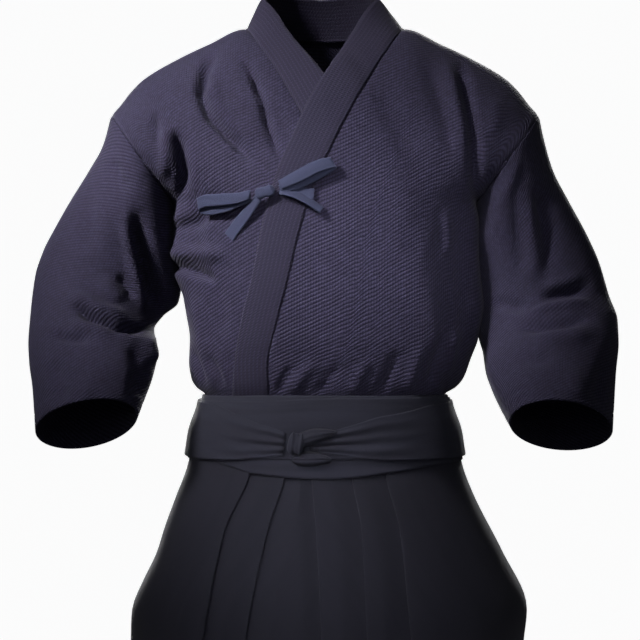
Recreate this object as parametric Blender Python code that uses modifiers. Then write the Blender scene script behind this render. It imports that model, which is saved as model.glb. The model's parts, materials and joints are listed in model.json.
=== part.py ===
"""Kendo uniform, worn and hollow: a woven cotton jacket crossed left over right and tied at the
chest, under pleated divided trousers whose straps are wound round the waist and knotted in front.

Metres, +Z up, the front faces -Y and the wearer's left is +X. The origin is the middle of the
neck opening, level with the points where the shoulders start, where the wearer's shoulders carry
the jacket. Every cloth piece is a wall: a sheet of points worked out from the sizes below, which
Solidify thickens to both sides.
"""

import math

import bpy
import numpy as np

# Cloth walls and seams
JACKET_CLOTH = 0.0020
COLLAR_CLOTH = 0.0040
TROUSER_CLOTH = 0.0012
STRAP_CLOTH = 0.0013
TIE_CLOTH = 0.0012
BOARD_THICKNESS = 0.0040
SEAM_HALF = 0.0003

# Armhole, an oval loop from the shoulder tip down to the underarm
SHOULDER_TIP_X = 0.276
SHOULDER_TIP_Z = -0.112
UNDERARM_X = 0.195
UNDERARM_Z = -0.225
ARMHOLE_DEPTH = {"front": 0.085, "back": 0.080}

# Neck opening, and how far the neckline sits towards the wearer's right
NECK_HALF_WIDTH = 0.100
NECK_BACK_TURN = 45.0
NECK_SHIFT = -0.006

# Sections are ovals of this power. The left front lies over the right one, clear of its collar band
OVAL_POWER = 2.4
OVERLAP_LIFT = 0.0056
COLLAR_LIFT = 0.0010
LIFT_MARGIN = 0.026
LIFT_FADE = 0.060
LIFT_OUTER_X = 0.152

# Rows and columns of the body's sheets: turns of the armhole above the underarm, heights below
# it, and shares of the way across
UPPER_TURNS = (
    0.0, 8.0, 15.0, 23.0, 30.0, 38.0, 45.0, 60.0,
    75.0, 90.0, 105.0, 120.0, 135.0, 150.0, 165.0, 180.0,
)
LOWER_ROWS = (
    -0.255, -0.295, -0.335, -0.370, -0.405, -0.434,
    -0.452, -0.466, -0.482, -0.540, -0.640, -0.740,
)
BODY_SHARES = np.array([0, 0.10, 0.21, 0.32, 0.43, 0.54, 0.65, 0.76, 0.87, 1.0])

# Columns of the collar band, and how far from the neck seam its first one stands
COLLAR_SHARES = np.array([0.0, 0.34, 0.67, 1.0])
NECK_SEAM_SHARE = 0.035

# Steps of the numerical work
SMALLEST_TURN = 0.01
DIFFERENCE_STEP = 0.001
HALVINGS = 24


def table(names, *rows):
    """Rows of sizes under named columns, kept as one array for each column."""
    return dict(zip(names.split(), np.array(rows, float).T))


# Jacket below the underarm: half widths on the wearer's left and right, and depths
BODY = table(
    "z       left    right   front   back",
    (-0.225, 0.1950, 0.1950, 0.1260, 0.1180),
    (-0.255, 0.1890, 0.1880, 0.1270, 0.1150),
    (-0.300, 0.1880, 0.1850, 0.1280, 0.1110),
    (-0.335, 0.1910, 0.1840, 0.1280, 0.1080),
    (-0.370, 0.1950, 0.1790, 0.1270, 0.1050),
    (-0.400, 0.1960, 0.1745, 0.1250, 0.1030),
    (-0.430, 0.1860, 0.1745, 0.1180, 0.1010),
    (-0.452, 0.1700, 0.1680, 0.1080, 0.0985),
    (-0.466, 0.1555, 0.1555, 0.1020, 0.0960),
    (-0.482, 0.1505, 0.1510, 0.0975, 0.0940),
    (-0.520, 0.1560, 0.1560, 0.0960, 0.0950),
    (-0.565, 0.1640, 0.1640, 0.0975, 0.1010),
    (-0.640, 0.1780, 0.1780, 0.1030, 0.1130),
    (-0.740, 0.1900, 0.1900, 0.1060, 0.1220),
)

# Jacket above the underarm, on the centre line, by the armhole's turn in degrees from its top
CHEST = table(
    "turn    front   front_z  back    back_z",
    (0.0, 0.0000, 0.0000, 0.0000, 0.0000),
    (15.0, 0.0240, -0.0038, 0.0475, 0.0005),
    (30.0, 0.0480, -0.0150, 0.0823, -0.0010),
    (45.0, 0.0680, -0.0330, 0.0950, -0.0050),
    (60.0, 0.0840, -0.0563, 0.1070, -0.0300),
    (75.0, 0.0970, -0.0835, 0.1150, -0.0620),
    (90.0, 0.1070, -0.1125, 0.1210, -0.1000),
    (105.0, 0.1145, -0.1415, 0.1250, -0.1350),
    (120.0, 0.1200, -0.1688, 0.1260, -0.1630),
    (135.0, 0.1230, -0.1920, 0.1245, -0.1870),
    (150.0, 0.1250, -0.2100, 0.1220, -0.2060),
    (165.0, 0.1258, -0.2211, 0.1195, -0.2200),
    (180.0, 0.1260, -0.2250, 0.1180, -0.2250),
)

# Slope of the shoulder's top line: share of the way out, share of the drop to the tip
SHOULDER_LINE = table(
    "out     drop",
    (0.000, 0.000),
    (0.377, 0.000),
    (0.543, 0.174),
    (0.683, 0.339),
    (0.848, 0.580),
    (0.913, 0.741),
    (0.957, 0.884),
    (1.000, 1.000),
)

# Collar band where it lies on the left front: its seam, and its free edge level with each
COLLAR_FRONT = table(
    "seam_z  seam_x  edge_x   edge_z",
    (-0.740, -0.0800, -0.1220, -0.740),
    (-0.600, -0.0750, -0.1190, -0.600),
    (-0.484, -0.0700, -0.1160, -0.480),
    (-0.436, -0.0715, -0.1120, -0.430),
    (-0.382, -0.0605, -0.1025, -0.372),
    (-0.333, -0.0480, -0.0900, -0.322),
    (-0.269, -0.0330, -0.0770, -0.255),
    (-0.213, -0.0160, -0.0600, -0.192),
    (-0.168, 0.0040, -0.0400, -0.146),
    (-0.124, 0.0260, -0.0190, -0.099),
    (-0.093, 0.0430, 0.0000, -0.068),
    (-0.063, 0.0600, 0.0190, -0.040),
    (-0.036, 0.0760, 0.0360, -0.0155),
    (-0.013, 0.0905, 0.0520, 0.0130),
    (0.000, 0.1000, 0.0740, 0.0400),
)

# The band's free edge round the neck, by the same turn, in front of the shoulder and behind it
NECK_EDGE_FRONT = table(
    "turn    x       y        z",
    (0.0, 0.0740, 0.0000, 0.0400),
    (8.0, 0.0690, -0.0090, 0.0350),
    (15.0, 0.0625, -0.0170, 0.0270),
    (23.0, 0.0560, -0.0250, 0.0180),
    (30.0, 0.0500, -0.0330, 0.0080),
    (38.0, 0.0440, -0.0420, -0.0035),
    (45.0, 0.0360, -0.0520, -0.0155),
)
NECK_EDGE_BACK = table(
    "turn    x       y       z",
    (0.0, 0.0740, 0.0000, 0.0400),
    (8.0, 0.0720, 0.0180, 0.0440),
    (15.0, 0.0650, 0.0340, 0.0470),
    (23.0, 0.0520, 0.0490, 0.0490),
    (30.0, 0.0380, 0.0590, 0.0490),
    (38.0, 0.0190, 0.0650, 0.0480),
    (45.0, 0.0000, 0.0670, 0.0470),
)

# Sleeves, ring by ring: outer and inner edge seen from the front, the ring's middle and depths,
# and how far its front rises, its back drops and both lean as the forearm comes forward
SLEEVE_COLUMNS = "outer_x outer_z inner_x inner_z middle front back rise drop lean"
SLEEVES = {
    "left": table(
        SLEEVE_COLUMNS,
        (0.2760, -0.112, 0.1950, -0.2250, 0.000, 0.085, 0.080, 0.000, 0.000, 0.000),
        (0.2840, -0.146, 0.1935, -0.2550, 0.002, 0.084, 0.079, 0.000, 0.000, 0.000),
        (0.2950, -0.182, 0.1920, -0.2830, 0.005, 0.083, 0.078, 0.000, 0.000, 0.000),
        (0.3160, -0.222, 0.1925, -0.3090, 0.010, 0.080, 0.077, 0.002, 0.002, 0.000),
        (0.3400, -0.266, 0.1952, -0.3380, 0.012, 0.078, 0.076, 0.004, 0.004, 0.000),
        (0.3570, -0.305, 0.1985, -0.3665, 0.010, 0.077, 0.075, 0.008, 0.008, 0.002),
        (0.3680, -0.346, 0.2000, -0.3960, 0.000, 0.076, 0.074, 0.014, 0.012, 0.004),
        (0.3770, -0.378, 0.2050, -0.4200, -0.020, 0.075, 0.073, 0.019, 0.016, 0.007),
        (0.3760, -0.405, 0.2070, -0.4430, -0.040, 0.073, 0.071, 0.024, 0.021, 0.010),
        (0.3700, -0.442, 0.2138, -0.4666, -0.060, 0.071, 0.069, 0.029, 0.026, 0.013),
        (0.3650, -0.481, 0.2235, -0.4900, -0.080, 0.070, 0.067, 0.033, 0.030, 0.016),
        (0.3610, -0.510, 0.2350, -0.5130, -0.095, 0.069, 0.066, 0.036, 0.033, 0.019),
    ),
    "right": table(
        SLEEVE_COLUMNS,
        (0.2760, -0.112, 0.1950, -0.2250, 0.000, 0.085, 0.080, 0.000, 0.000, 0.000),
        (0.2880, -0.152, 0.1925, -0.2530, 0.002, 0.084, 0.079, 0.000, 0.000, 0.000),
        (0.3060, -0.184, 0.1905, -0.2780, 0.004, 0.083, 0.078, 0.000, 0.000, 0.000),
        (0.3300, -0.222, 0.1890, -0.3040, 0.008, 0.081, 0.077, 0.002, 0.002, 0.000),
        (0.3520, -0.260, 0.1885, -0.3300, 0.012, 0.079, 0.076, 0.005, 0.004, 0.000),
        (0.3680, -0.292, 0.1920, -0.3530, 0.012, 0.077, 0.075, 0.009, 0.008, 0.002),
        (0.3760, -0.320, 0.2110, -0.3700, 0.004, 0.074, 0.074, 0.012, 0.012, 0.004),
        (0.3800, -0.364, 0.2220, -0.3880, -0.012, 0.072, 0.072, 0.016, 0.016, 0.006),
        (0.3810, -0.399, 0.2190, -0.4060, -0.030, 0.071, 0.071, 0.020, 0.020, 0.008),
        (0.3780, -0.430, 0.2160, -0.4240, -0.048, 0.070, 0.070, 0.024, 0.024, 0.009),
        (0.3720, -0.460, 0.2200, -0.4480, -0.065, 0.070, 0.068, 0.027, 0.028, 0.010),
        (0.3680, -0.490, 0.2290, -0.4750, -0.080, 0.069, 0.067, 0.030, 0.032, 0.011),
        (0.3650, -0.514, 0.2378, -0.5000, -0.092, 0.068, 0.066, 0.032, 0.035, 0.012),
    ),
}
SLEEVE_GIRTH = 0.50
SLEEVE_LENGTH = 0.36
SLEEVE_START = (0.0010, 0.0018)
ARMHOLE_OUTWARD = (0.813, -0.583)

# Largest folds of the jacket's front, seen from the front: ends, half width and height
FRONT_FOLDS = table(
    "x0      z0      x1      z1     width  height",
    (-0.190, -0.140, -0.180, -0.205, 0.011, -0.0070),
    (-0.160, -0.130, -0.152, -0.215, 0.018, 0.0050),
    (-0.160, -0.065, -0.100, -0.165, 0.014, -0.0050),
    (-0.102, -0.070, -0.062, -0.160, 0.010, -0.0035),
    (-0.186, -0.280, -0.120, -0.310, 0.014, -0.0050),
    (0.150, -0.200, 0.152, -0.290, 0.012, 0.0050),
    (0.170, -0.230, 0.172, -0.330, 0.012, -0.0040),
)
BACK_FOLDS = table(
    "x0      z0      x1      z1     width  height",
    (-0.165, -0.150, -0.120, -0.290, 0.018, -0.0060),
    (0.165, -0.150, 0.120, -0.290, 0.018, -0.0060),
    (-0.080, -0.330, -0.060, -0.440, 0.020, -0.0045),
    (0.090, -0.310, 0.070, -0.440, 0.020, -0.0045),
)

# Largest folds of the sleeves: ends as the angle from the outer edge towards the front, in
# degrees, and the share of the sleeve's length, then half width and height
SLEEVE_FOLD_COLUMNS = "turn0 along0 turn1 along1 width height"
SLEEVE_FOLDS = {
    "left": table(
        SLEEVE_FOLD_COLUMNS,
        (155.0, 0.66, 60.0, 0.58, 0.016, -0.0080),
        (150.0, 0.76, 50.0, 0.70, 0.016, 0.0060),
        (130.0, 0.15, 110.0, 0.50, 0.018, 0.0060),
        (205.0, 0.60, 290.0, 0.62, 0.018, -0.0070),
    ),
    "right": table(
        SLEEVE_FOLD_COLUMNS,
        (160.0, 0.50, 95.0, 0.60, 0.015, -0.0100),
        (155.0, 0.64, 60.0, 0.55, 0.015, 0.0070),
        (150.0, 0.74, 40.0, 0.68, 0.016, -0.0080),
        (140.0, 0.20, 110.0, 0.46, 0.016, 0.0060),
        (200.0, 0.55, 280.0, 0.58, 0.018, -0.0070),
    ),
}

# Trousers: half width and depths of the outermost layer
TROUSERS = table(
    "z       half    front   back",
    (-0.470, 0.1555, 0.1160, 0.1080),
    (-0.487, 0.1590, 0.1165, 0.1100),
    (-0.520, 0.1700, 0.1170, 0.1120),
    (-0.545, 0.1740, 0.1180, 0.1140),
    (-0.562, 0.1770, 0.1190, 0.1160),
    (-0.600, 0.1910, 0.1235, 0.1230),
    (-0.675, 0.2290, 0.1330, 0.1370),
    (-0.750, 0.2610, 0.1430, 0.1500),
    (-0.800, 0.2560, 0.1490, 0.1580),
    (-0.900, 0.2720, 0.1610, 0.1700),
    (-1.050, 0.3010, 0.1750, 0.1850),
    (-1.220, 0.3280, 0.1890, 0.1990),
    (-1.390, 0.3460, 0.2000, 0.2100),
)
TROUSER_ROWS = (
    -0.487, -0.522, -0.562, -0.610, -0.675, -0.750,
    -0.800, -0.880, -0.970, -1.090, -1.240, -1.390,
)

# Folded edges of the knife pleats, all facing the middle, as distances from the centre line, and
# the folds' layer pitch and tuck
PLEATS = table(
    "z       right_2 right_1 left_3  left_2  left_1   back    pitch   tuck",
    (-0.487, 0.0930, 0.0480, 0.0750, 0.0320, -0.0180, 0.0300, 0.0021, 0.016),
    (-0.562, 0.0940, 0.0500, 0.0760, 0.0330, -0.0170, 0.0290, 0.0022, 0.016),
    (-0.640, 0.1260, 0.0720, 0.0940, 0.0460, -0.0110, 0.0270, 0.0028, 0.018),
    (-0.777, 0.1530, 0.0990, 0.1080, 0.0530, -0.0040, 0.0230, 0.0038, 0.022),
    (-1.390, 0.2120, 0.1420, 0.1800, 0.0960, 0.0100, 0.0150, 0.0080, 0.042),
)
PLEAT_NAMES = {"right": ("right_2", "right_1"), "left": ("left_3", "left_2", "left_1"), "back": ("back",)}
CENTRE_LAP = 0.006
PLEAT_RISE = 0.016
CENTRE_REACH = (0.004, 0.030)

# Side slits from the waistband down to the side seams: how far each panel's edge stands back
SLITS = table(
    "z       front   back",
    (-0.487, 0.0080, 0.0040),
    (-0.562, 0.0120, 0.0060),
    (-0.640, 0.0180, 0.0100),
    (-0.740, 0.0060, 0.0040),
    (-0.760, 0.0003, 0.0003),
    (-1.390, 0.0003, 0.0003),
)

# The wearer's right hip stands out less: how much its outer part is taken in, by height, and the
# distances from the centre line over which that sets in
HIP_TAKE_IN = table(
    "z       share",
    (-0.600, 0.000),
    (-0.640, 0.030),
    (-0.675, 0.054),
    (-0.720, 0.060),
    (-0.750, 0.045),
    (-0.800, 0.018),
    (-0.880, 0.000),
)
HIP_REACH = (0.150, 0.235)

# Inner leg panels hang from the crotch: middle line of each, from side to side, by height
CROTCH_Z = -0.965
INNER_LEG_OVERHANG = 0.010
INNER_LEG_COLUMNS = 7
INNER_LEG = table(
    "z       left    right   inset",
    (-0.965, 0.0060, -0.0060, 0.0110),
    (-1.090, 0.0200, -0.0190, 0.0120),
    (-1.240, 0.0330, -0.0300, 0.0130),
    (-1.390, 0.0430, -0.0390, 0.0140),
)

# Front strap, wound twice: outset from the trousers, top and bottom edge by angle from the side
WRAP_INNER = table(
    "turn    top     bottom",
    (-180.0, -0.4740, -0.5450),
    (-90.0, -0.4740, -0.5450),
    (0.0, -0.4740, -0.5560),
    (40.0, -0.4720, -0.5600),
    (65.0, -0.4722, -0.5680),
    (90.0, -0.4715, -0.5760),
    (115.0, -0.4718, -0.5700),
    (140.0, -0.4730, -0.5560),
    (180.0, -0.4740, -0.5540),
    (270.0, -0.4740, -0.5450),
)
WRAP_OUTER = table(
    "turn    top     bottom",
    (-90.0, -0.4800, -0.5400),
    (0.0, -0.4770, -0.5490),
    (60.0, -0.4745, -0.5510),
    (90.0, -0.4750, -0.5520),
    (115.0, -0.4790, -0.5520),
    (180.0, -0.4800, -0.5490),
    (270.0, -0.4800, -0.5400),
)
WRAP_INNER_OUTSET = 0.0023
WRAP_OUTER_OUTSET = 0.0044
STRAP_OUTSET = 0.0065
STRAP_TURN_STEP = 7.5
STRAP_END_CURL = 0.001

# Back strap from the board round each side to the knot: angle from the side, edges
STRAPS = {
    "left": table(
        "turn    top      bottom",
        (-44.0, -0.4780, -0.5230),
        (-15.0, -0.4790, -0.5400),
        (10.0, -0.4810, -0.5510),
        (36.0, -0.4840, -0.5530),
        (61.0, -0.4945, -0.5530),
        (70.5, -0.4985, -0.5520),
        (79.0, -0.5060, -0.5500),
        (86.0, -0.5130, -0.5460),
        (94.0, -0.5210, -0.5420),
    ),
    "right": table(
        "turn    top      bottom",
        (-44.0, -0.4780, -0.5230),
        (-15.0, -0.4790, -0.5400),
        (10.0, -0.4810, -0.5510),
        (31.0, -0.4830, -0.5530),
        (55.0, -0.4980, -0.5530),
        (65.0, -0.5070, -0.5500),
        (73.0, -0.5130, -0.5480),
        (77.0, -0.5180, -0.5460),
    ),
}

# Stiff back board: height, half width and outset from the back of the trousers' section
BOARD = table(
    "z       half    depth",
    (-0.5000, 0.1180, 0.1208),
    (-0.4700, 0.1100, 0.1173),
    (-0.4400, 0.0990, 0.1130),
    (-0.4050, 0.0820, 0.1110),
)
BOARD_CLEARANCE = 0.0040

# Tapes of the chest bow: middle line seen from the front, height above the jacket, width, and the
# angle of the width from upright towards the wearer's left, in degrees
TAPE_COLUMNS = "x z height width angle"
TAPES = {
    "tie_root": table(
        TAPE_COLUMNS,
        (-0.0140, -0.2208, 0.0089, 0.0135, 4.0),
        (-0.0280, -0.2195, 0.0089, 0.0135, 4.0),
        (-0.0420, -0.2180, 0.0090, 0.0130, 4.0),
        (-0.0545, -0.2165, 0.0092, 0.0120, 4.0),
    ),
    "tie_tail_left": table(
        TAPE_COLUMNS,
        (-0.0045, -0.2408, 0.0092, 0.0140, 28.0),
        (-0.0150, -0.2335, 0.0108, 0.0140, 28.0),
        (-0.0250, -0.2280, 0.0110, 0.0135, 28.0),
        (-0.0375, -0.2225, 0.0108, 0.0125, 24.0),
        (-0.0480, -0.2185, 0.0108, 0.0115, 18.0),
        (-0.0555, -0.2165, 0.0108, 0.0105, 12.0),
    ),
    "tie_loop_left": table(
        TAPE_COLUMNS,
        (-0.0550, -0.2150, 0.0125, 0.0105, -22.0),
        (-0.0430, -0.2115, 0.0125, 0.0125, -24.0),
        (-0.0280, -0.2060, 0.0127, 0.0140, -26.0),
        (-0.0120, -0.1975, 0.0130, 0.0150, -28.0),
        (0.0030, -0.1885, 0.0138, 0.0150, -30.0),
        (0.0088, -0.1850, 0.0155, 0.0150, -32.0),
        (0.0098, -0.1838, 0.0178, 0.0150, -32.0),
        (0.0060, -0.1842, 0.0198, 0.0150, -30.0),
        (-0.0090, -0.1885, 0.0200, 0.0155, -28.0),
        (-0.0250, -0.1965, 0.0190, 0.0155, -26.0),
        (-0.0400, -0.2040, 0.0175, 0.0140, -24.0),
        (-0.0550, -0.2105, 0.0155, 0.0115, -22.0),
    ),
    "tie_tail_right": table(
        TAPE_COLUMNS,
        (-0.0885, -0.2350, 0.0088, 0.0110, -38.0),
        (-0.0970, -0.2450, 0.0060, 0.0135, -42.0),
        (-0.1090, -0.2590, 0.0030, 0.0145, -44.0),
        (-0.1200, -0.2730, 0.0009, 0.0145, -46.0),
    ),
    "tie_loop_right": table(
        TAPE_COLUMNS,
        (-0.0905, -0.2250, 0.0106, 0.0105, 6.0),
        (-0.1060, -0.2300, 0.0100, 0.0130, 8.0),
        (-0.1220, -0.2345, 0.0085, 0.0145, 6.0),
        (-0.1380, -0.2365, 0.0070, 0.0150, 2.0),
        (-0.1500, -0.2350, 0.0068, 0.0150, -6.0),
        (-0.1535, -0.2330, 0.0085, 0.0150, -10.0),
        (-0.1530, -0.2305, 0.0108, 0.0150, -10.0),
        (-0.1490, -0.2280, 0.0124, 0.0150, -8.0),
        (-0.1370, -0.2250, 0.0138, 0.0150, -2.0),
        (-0.1210, -0.2240, 0.0145, 0.0150, 2.0),
        (-0.1050, -0.2230, 0.0145, 0.0135, 4.0),
        (-0.0905, -0.2200, 0.0140, 0.0110, 6.0),
    ),
}
TIE_RISE = 0.0010
TIE_KNOT = {"x": -0.0728, "z": -0.2180, "height": 0.0140, "size": (0.0155, 0.0052, 0.0105), "tilt": 12.0}

# Knot of the back straps, in front of the waist
STRAP_KNOT = {"x": -0.0344, "z": -0.5315, "outset": 0.0138, "size": (0.0120, 0.0082, 0.0150), "tilt": -8.0}
STRAP_ENDS = {
    "strap_knot_end_upper": table(
        "x       top     bottom   outset",
        (-0.0205, -0.5180, -0.5290, 0.0090),
        (-0.0120, -0.5150, -0.5270, 0.0110),
        (0.0000, -0.5145, -0.5235, 0.0100),
        (0.0130, -0.5160, -0.5215, 0.0085),
    ),
    "strap_knot_end_lower": table(
        "x       top     bottom   outset",
        (-0.0360, -0.5500, -0.5560, 0.0080),
        (-0.0240, -0.5470, -0.5570, 0.0090),
        (-0.0100, -0.5475, -0.5565, 0.0086),
        (0.0060, -0.5500, -0.5550, 0.0070),
    ),
}


# Curves and grids


def read(columns, key, name, at):
    """A column read at any value of its key column, on a cubic that never overshoots its rows."""
    x, y = columns[key], columns[name]
    if x[0] > x[-1]:
        x, y = x[::-1], y[::-1]
    step = np.diff(x)
    slope = np.diff(y) / step
    same_way = slope[1:] * slope[:-1] > 0
    total = np.where(same_way, slope[1:] + slope[:-1], 1.0)
    inner = np.where(same_way, 2 * slope[1:] * slope[:-1] / total, 0.0)
    tangent = np.concatenate([slope[:1], inner, slope[-1:]])
    at = np.clip(np.asarray(at, float), x[0], x[-1])
    i = np.clip(np.searchsorted(x, at) - 1, 0, len(step) - 1)
    u = (at - x[i]) / step[i]
    start = y[i] * (1 + 2 * u) + tangent[i] * step[i] * u
    end = y[i + 1] * (3 - 2 * u) + tangent[i + 1] * step[i] * (u - 1)
    return start * (1 - u) ** 2 + end * u**2


def ease(low, high, at):
    """0 at low and 1 at high with a smooth step between them. low may be the larger."""
    share = np.clip((np.asarray(at, float) - low) / (high - low), 0, 1)
    return share * share * (3 - 2 * share)


def signed_power(value, power):
    return np.sign(value) * np.abs(value) ** power


def solve_rising(function, low, high):
    """Where a rising function crosses zero, by halving the interval."""
    for _ in range(HALVINGS):
        middle = (low + high) / 2
        below = function(middle) < 0
        low = np.where(below, middle, low)
        high = np.where(below, high, middle)
    return (low + high) / 2


def unit(vectors):
    return vectors / np.maximum(np.linalg.norm(vectors, axis=-1, keepdims=True), 1e-9)


def grid_normals(points, closed=False):
    """Unit normals of a grid of points: along its rows crossed with along its columns."""
    if closed:
        across = np.roll(points, -1, axis=1) - np.roll(points, 1, axis=1)
    else:
        across = np.gradient(points, axis=1)
    return unit(np.cross(np.gradient(points, axis=0), across))


def fold_height(x, z, folds):
    """Height of all folds at (x, z): each is a bell across its line that fades beyond its ends."""
    total = np.zeros(np.broadcast(x, z).shape)
    for i in range(len(folds["x0"])):
        x0, z0, x1, z1, width, height = (folds[n][i] for n in ("x0", "z0", "x1", "z1", "width", "height"))
        length = math.hypot(x1 - x0, z1 - z0)
        along = ((x - x0) * (x1 - x0) + (z - z0) * (z1 - z0)) / length
        aside = ((x - x0) * (z1 - z0) - (z - z0) * (x1 - x0)) / length
        beyond = np.maximum(np.maximum(-along, along - length), 0)
        total += height * np.exp(-((aside / width) ** 2) - (beyond / (1.5 * width)) ** 2)
    return total


# Objects


def clear_scene():
    for old in list(bpy.data.objects):
        bpy.data.objects.remove(old, do_unlink=True)


def cloth_material(name, colour, roughness):
    material = bpy.data.materials.new(name)
    material.use_nodes = True
    shader = material.node_tree.nodes["Principled BSDF"]
    shader.inputs["Base Color"].default_value = (*colour, 1.0)
    shader.inputs["Roughness"].default_value = roughness
    shader.inputs["Metallic"].default_value = 0.0
    return material


def grid_object(name, points, faces, material):
    mesh = bpy.data.meshes.new(name)
    mesh.from_pydata(points.reshape(-1, 3).tolist(), [], faces)
    mesh.shade_smooth()
    mesh.materials.append(material)
    piece = bpy.data.objects.new(name, mesh)
    COLLECTION.objects.link(piece)
    return piece


def grid_faces(rows, columns, closed):
    wide = columns if closed else columns - 1
    row, column = np.meshgrid(np.arange(rows - 1), np.arange(wide), indexing="ij")
    beside = (column + 1) % columns
    start, above = row * columns, (row + 1) * columns
    corners = (start + column, start + beside, above + beside, above + column)
    return np.stack([c.ravel() for c in corners], axis=1).tolist()


def sheet_object(name, points, material, thickness, closed=False):
    """A grid of points as a smooth sheet, thickened to both sides."""
    faces = grid_faces(*points.shape[:2], closed)
    piece = grid_object(name, points, faces, material)
    wall = piece.modifiers.new("cloth", "SOLIDIFY")
    wall.thickness = thickness
    wall.offset = 0.0
    wall.use_even_offset = True
    return piece


# Jacket body


def armhole(down, face):
    """x, depth and z of the armhole's edge at a share of the way down from tip to underarm."""
    x = SHOULDER_TIP_X + (UNDERARM_X - SHOULDER_TIP_X) * down
    z = SHOULDER_TIP_Z + (UNDERARM_Z - SHOULDER_TIP_Z) * down
    return x, ARMHOLE_DEPTH[face] * 2 * np.sqrt(np.clip(down * (1 - down), 0, None)), z


def chest_point(x, turn, face):
    """Depth and z at x on one row above the underarm. The row is part of an oval, just wide enough
    to pass through the armhole's edge, and its height falls as the shoulder line does."""
    turn = np.maximum(turn, SMALLEST_TURN)
    down = (1 - np.cos(np.radians(turn))) / 2
    edge_x, edge_depth, edge_z = armhole(down, face)
    out = np.clip(np.abs(x) / edge_x, 0, 1)
    centre_depth = read(CHEST, "turn", face, turn)
    edge_share = (1 - (edge_depth / centre_depth) ** OVAL_POWER) ** (1 / OVAL_POWER)
    depth = centre_depth * (1 - (out * edge_share) ** OVAL_POWER) ** (1 / OVAL_POWER)
    middle_z = read(CHEST, "turn", face + "_z", turn)
    drop = read(SHOULDER_LINE, "out", "drop", out) * (1 - down) + out * down
    return depth, middle_z + (edge_z - middle_z) * drop


def oval_depth(x, half, depth):
    share = np.clip(np.abs(x) / half, 0, 1)
    return depth * (1 - share**OVAL_POWER) ** (1 / OVAL_POWER)


def front_depth(x, z):
    """Depth of the jacket's front at a point seen from the front, with its folds."""
    turn = solve_rising(lambda t: z - chest_point(x, t, "front")[1], np.zeros_like(x * z), 180 + 0 * x * z)
    upper = chest_point(x, turn, "front")[0]
    half = np.where(x > 0, read(BODY, "z", "left", z), read(BODY, "z", "right", z))
    lower = oval_depth(x, half, read(BODY, "z", "front", z))
    return np.where(z > UNDERARM_Z, upper, lower) + front_fold(x, z)


def front_fold(x, z):
    return fold_height(x, z, FRONT_FOLDS) * ease(-0.470, -0.440, z)


def overlap_lift(x, z):
    """How far the left front stands off the body, to clear the right collar band under it."""
    under_edge = -read(COLLAR_FRONT, "edge_z", "edge_x", z)
    outer = np.minimum(under_edge + LIFT_FADE, LIFT_OUTER_X)
    return OVERLAP_LIFT * ease(-0.030, -0.060, z) * ease(outer, under_edge + LIFT_MARGIN, x)


def front_point(x, z, lift):
    """A point of the jacket's front, moved out square to it by the lift."""
    step = DIFFERENCE_STEP
    slope_x = (front_depth(x + step, z) - front_depth(x - step, z)) / (2 * step)
    slope_z = (front_depth(x, z + step) - front_depth(x, z - step)) / (2 * step)
    outward = -unit(np.stack([slope_x, np.ones_like(slope_x), slope_z], axis=-1))
    base = np.stack([x + 0 * z, -front_depth(x, z), z + 0 * x], axis=-1)
    return base + outward * np.asarray(lift)[..., None]


def seam_x(z):
    """Inner edge of each front, where the collar band is sewn on."""
    return read(COLLAR_FRONT, "seam_z", "seam_x", z)


def upper_inner_x(turn, face):
    """Inner edge of a body half above the underarm: the collar seam, the neck or the centre back."""
    if face == "front":
        return solve_rising(lambda x: x - seam_x(chest_point(x, turn, face)[1]), -0.15, 0.15)
    round_neck = min(turn / NECK_BACK_TURN, 1.0) * math.pi / 2
    return max(NECK_HALF_WIDTH * math.cos(round_neck), 0.0)


def spread_across(inner_x, outer_x):
    """x of each column, closer together near the side, where the body turns."""
    start = math.asin(np.clip(signed_power(inner_x / outer_x, OVAL_POWER / 2), -1, 1))
    return outer_x * signed_power(np.sin(start + (math.pi / 2 - start) * BODY_SHARES), 2 / OVAL_POWER)


def body_row(at, face, side):
    """One row of a body half for the wearer's left, above the underarm by its turn or below by z."""
    sign = 1 if side == "left" else -1
    if at >= 0:
        outer_x = armhole((1 - math.cos(math.radians(at))) / 2, face)[0]
        x = spread_across(upper_inner_x(at, face) + SEAM_HALF, outer_x)
        depth, z = chest_point(x, at, face)
    else:
        half = float(read(BODY, "z", side, at))
        inner_x = float(seam_x(at)) if face == "front" else 0.0
        x = spread_across(inner_x + SEAM_HALF, half)
        depth, z = oval_depth(x, half, read(BODY, "z", face, at)), np.full_like(x, at)
    fold = front_fold(sign * x, z) if face == "front" else fold_height(sign * x, z, BACK_FOLDS)
    fold *= ease(1.0, 0.85, BODY_SHARES)
    depth = depth + fold * (1.0 if at != 0 else 0.0)
    depth = np.maximum(depth, SEAM_HALF if at != 0 else 0.0)
    return np.stack([x, -depth if face == "front" else depth, z], axis=1)


def body_points(side):
    """A body half from the front hem over the shoulder to the back hem."""
    rows = [(z, "front") for z in LOWER_ROWS[::-1]]
    rows += [(turn, "front") for turn in UPPER_TURNS[:0:-1]]
    rows += [(turn, "back") for turn in UPPER_TURNS]
    rows += [(z, "back") for z in LOWER_ROWS]
    points = np.array([body_row(at, face, side) for at, face in rows])
    if side == "right":
        return points * [-1, 1, 1]
    in_front = np.array([face == "front" for _, face in rows])
    outward = grid_normals(points)
    outward *= np.sign(np.sum(outward * points * [1, 1, 0], axis=2, keepdims=True))
    return points + outward * (overlap_lift(points[..., 0], points[..., 2]) * in_front[:, None])[..., None]


# Sleeves


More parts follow.
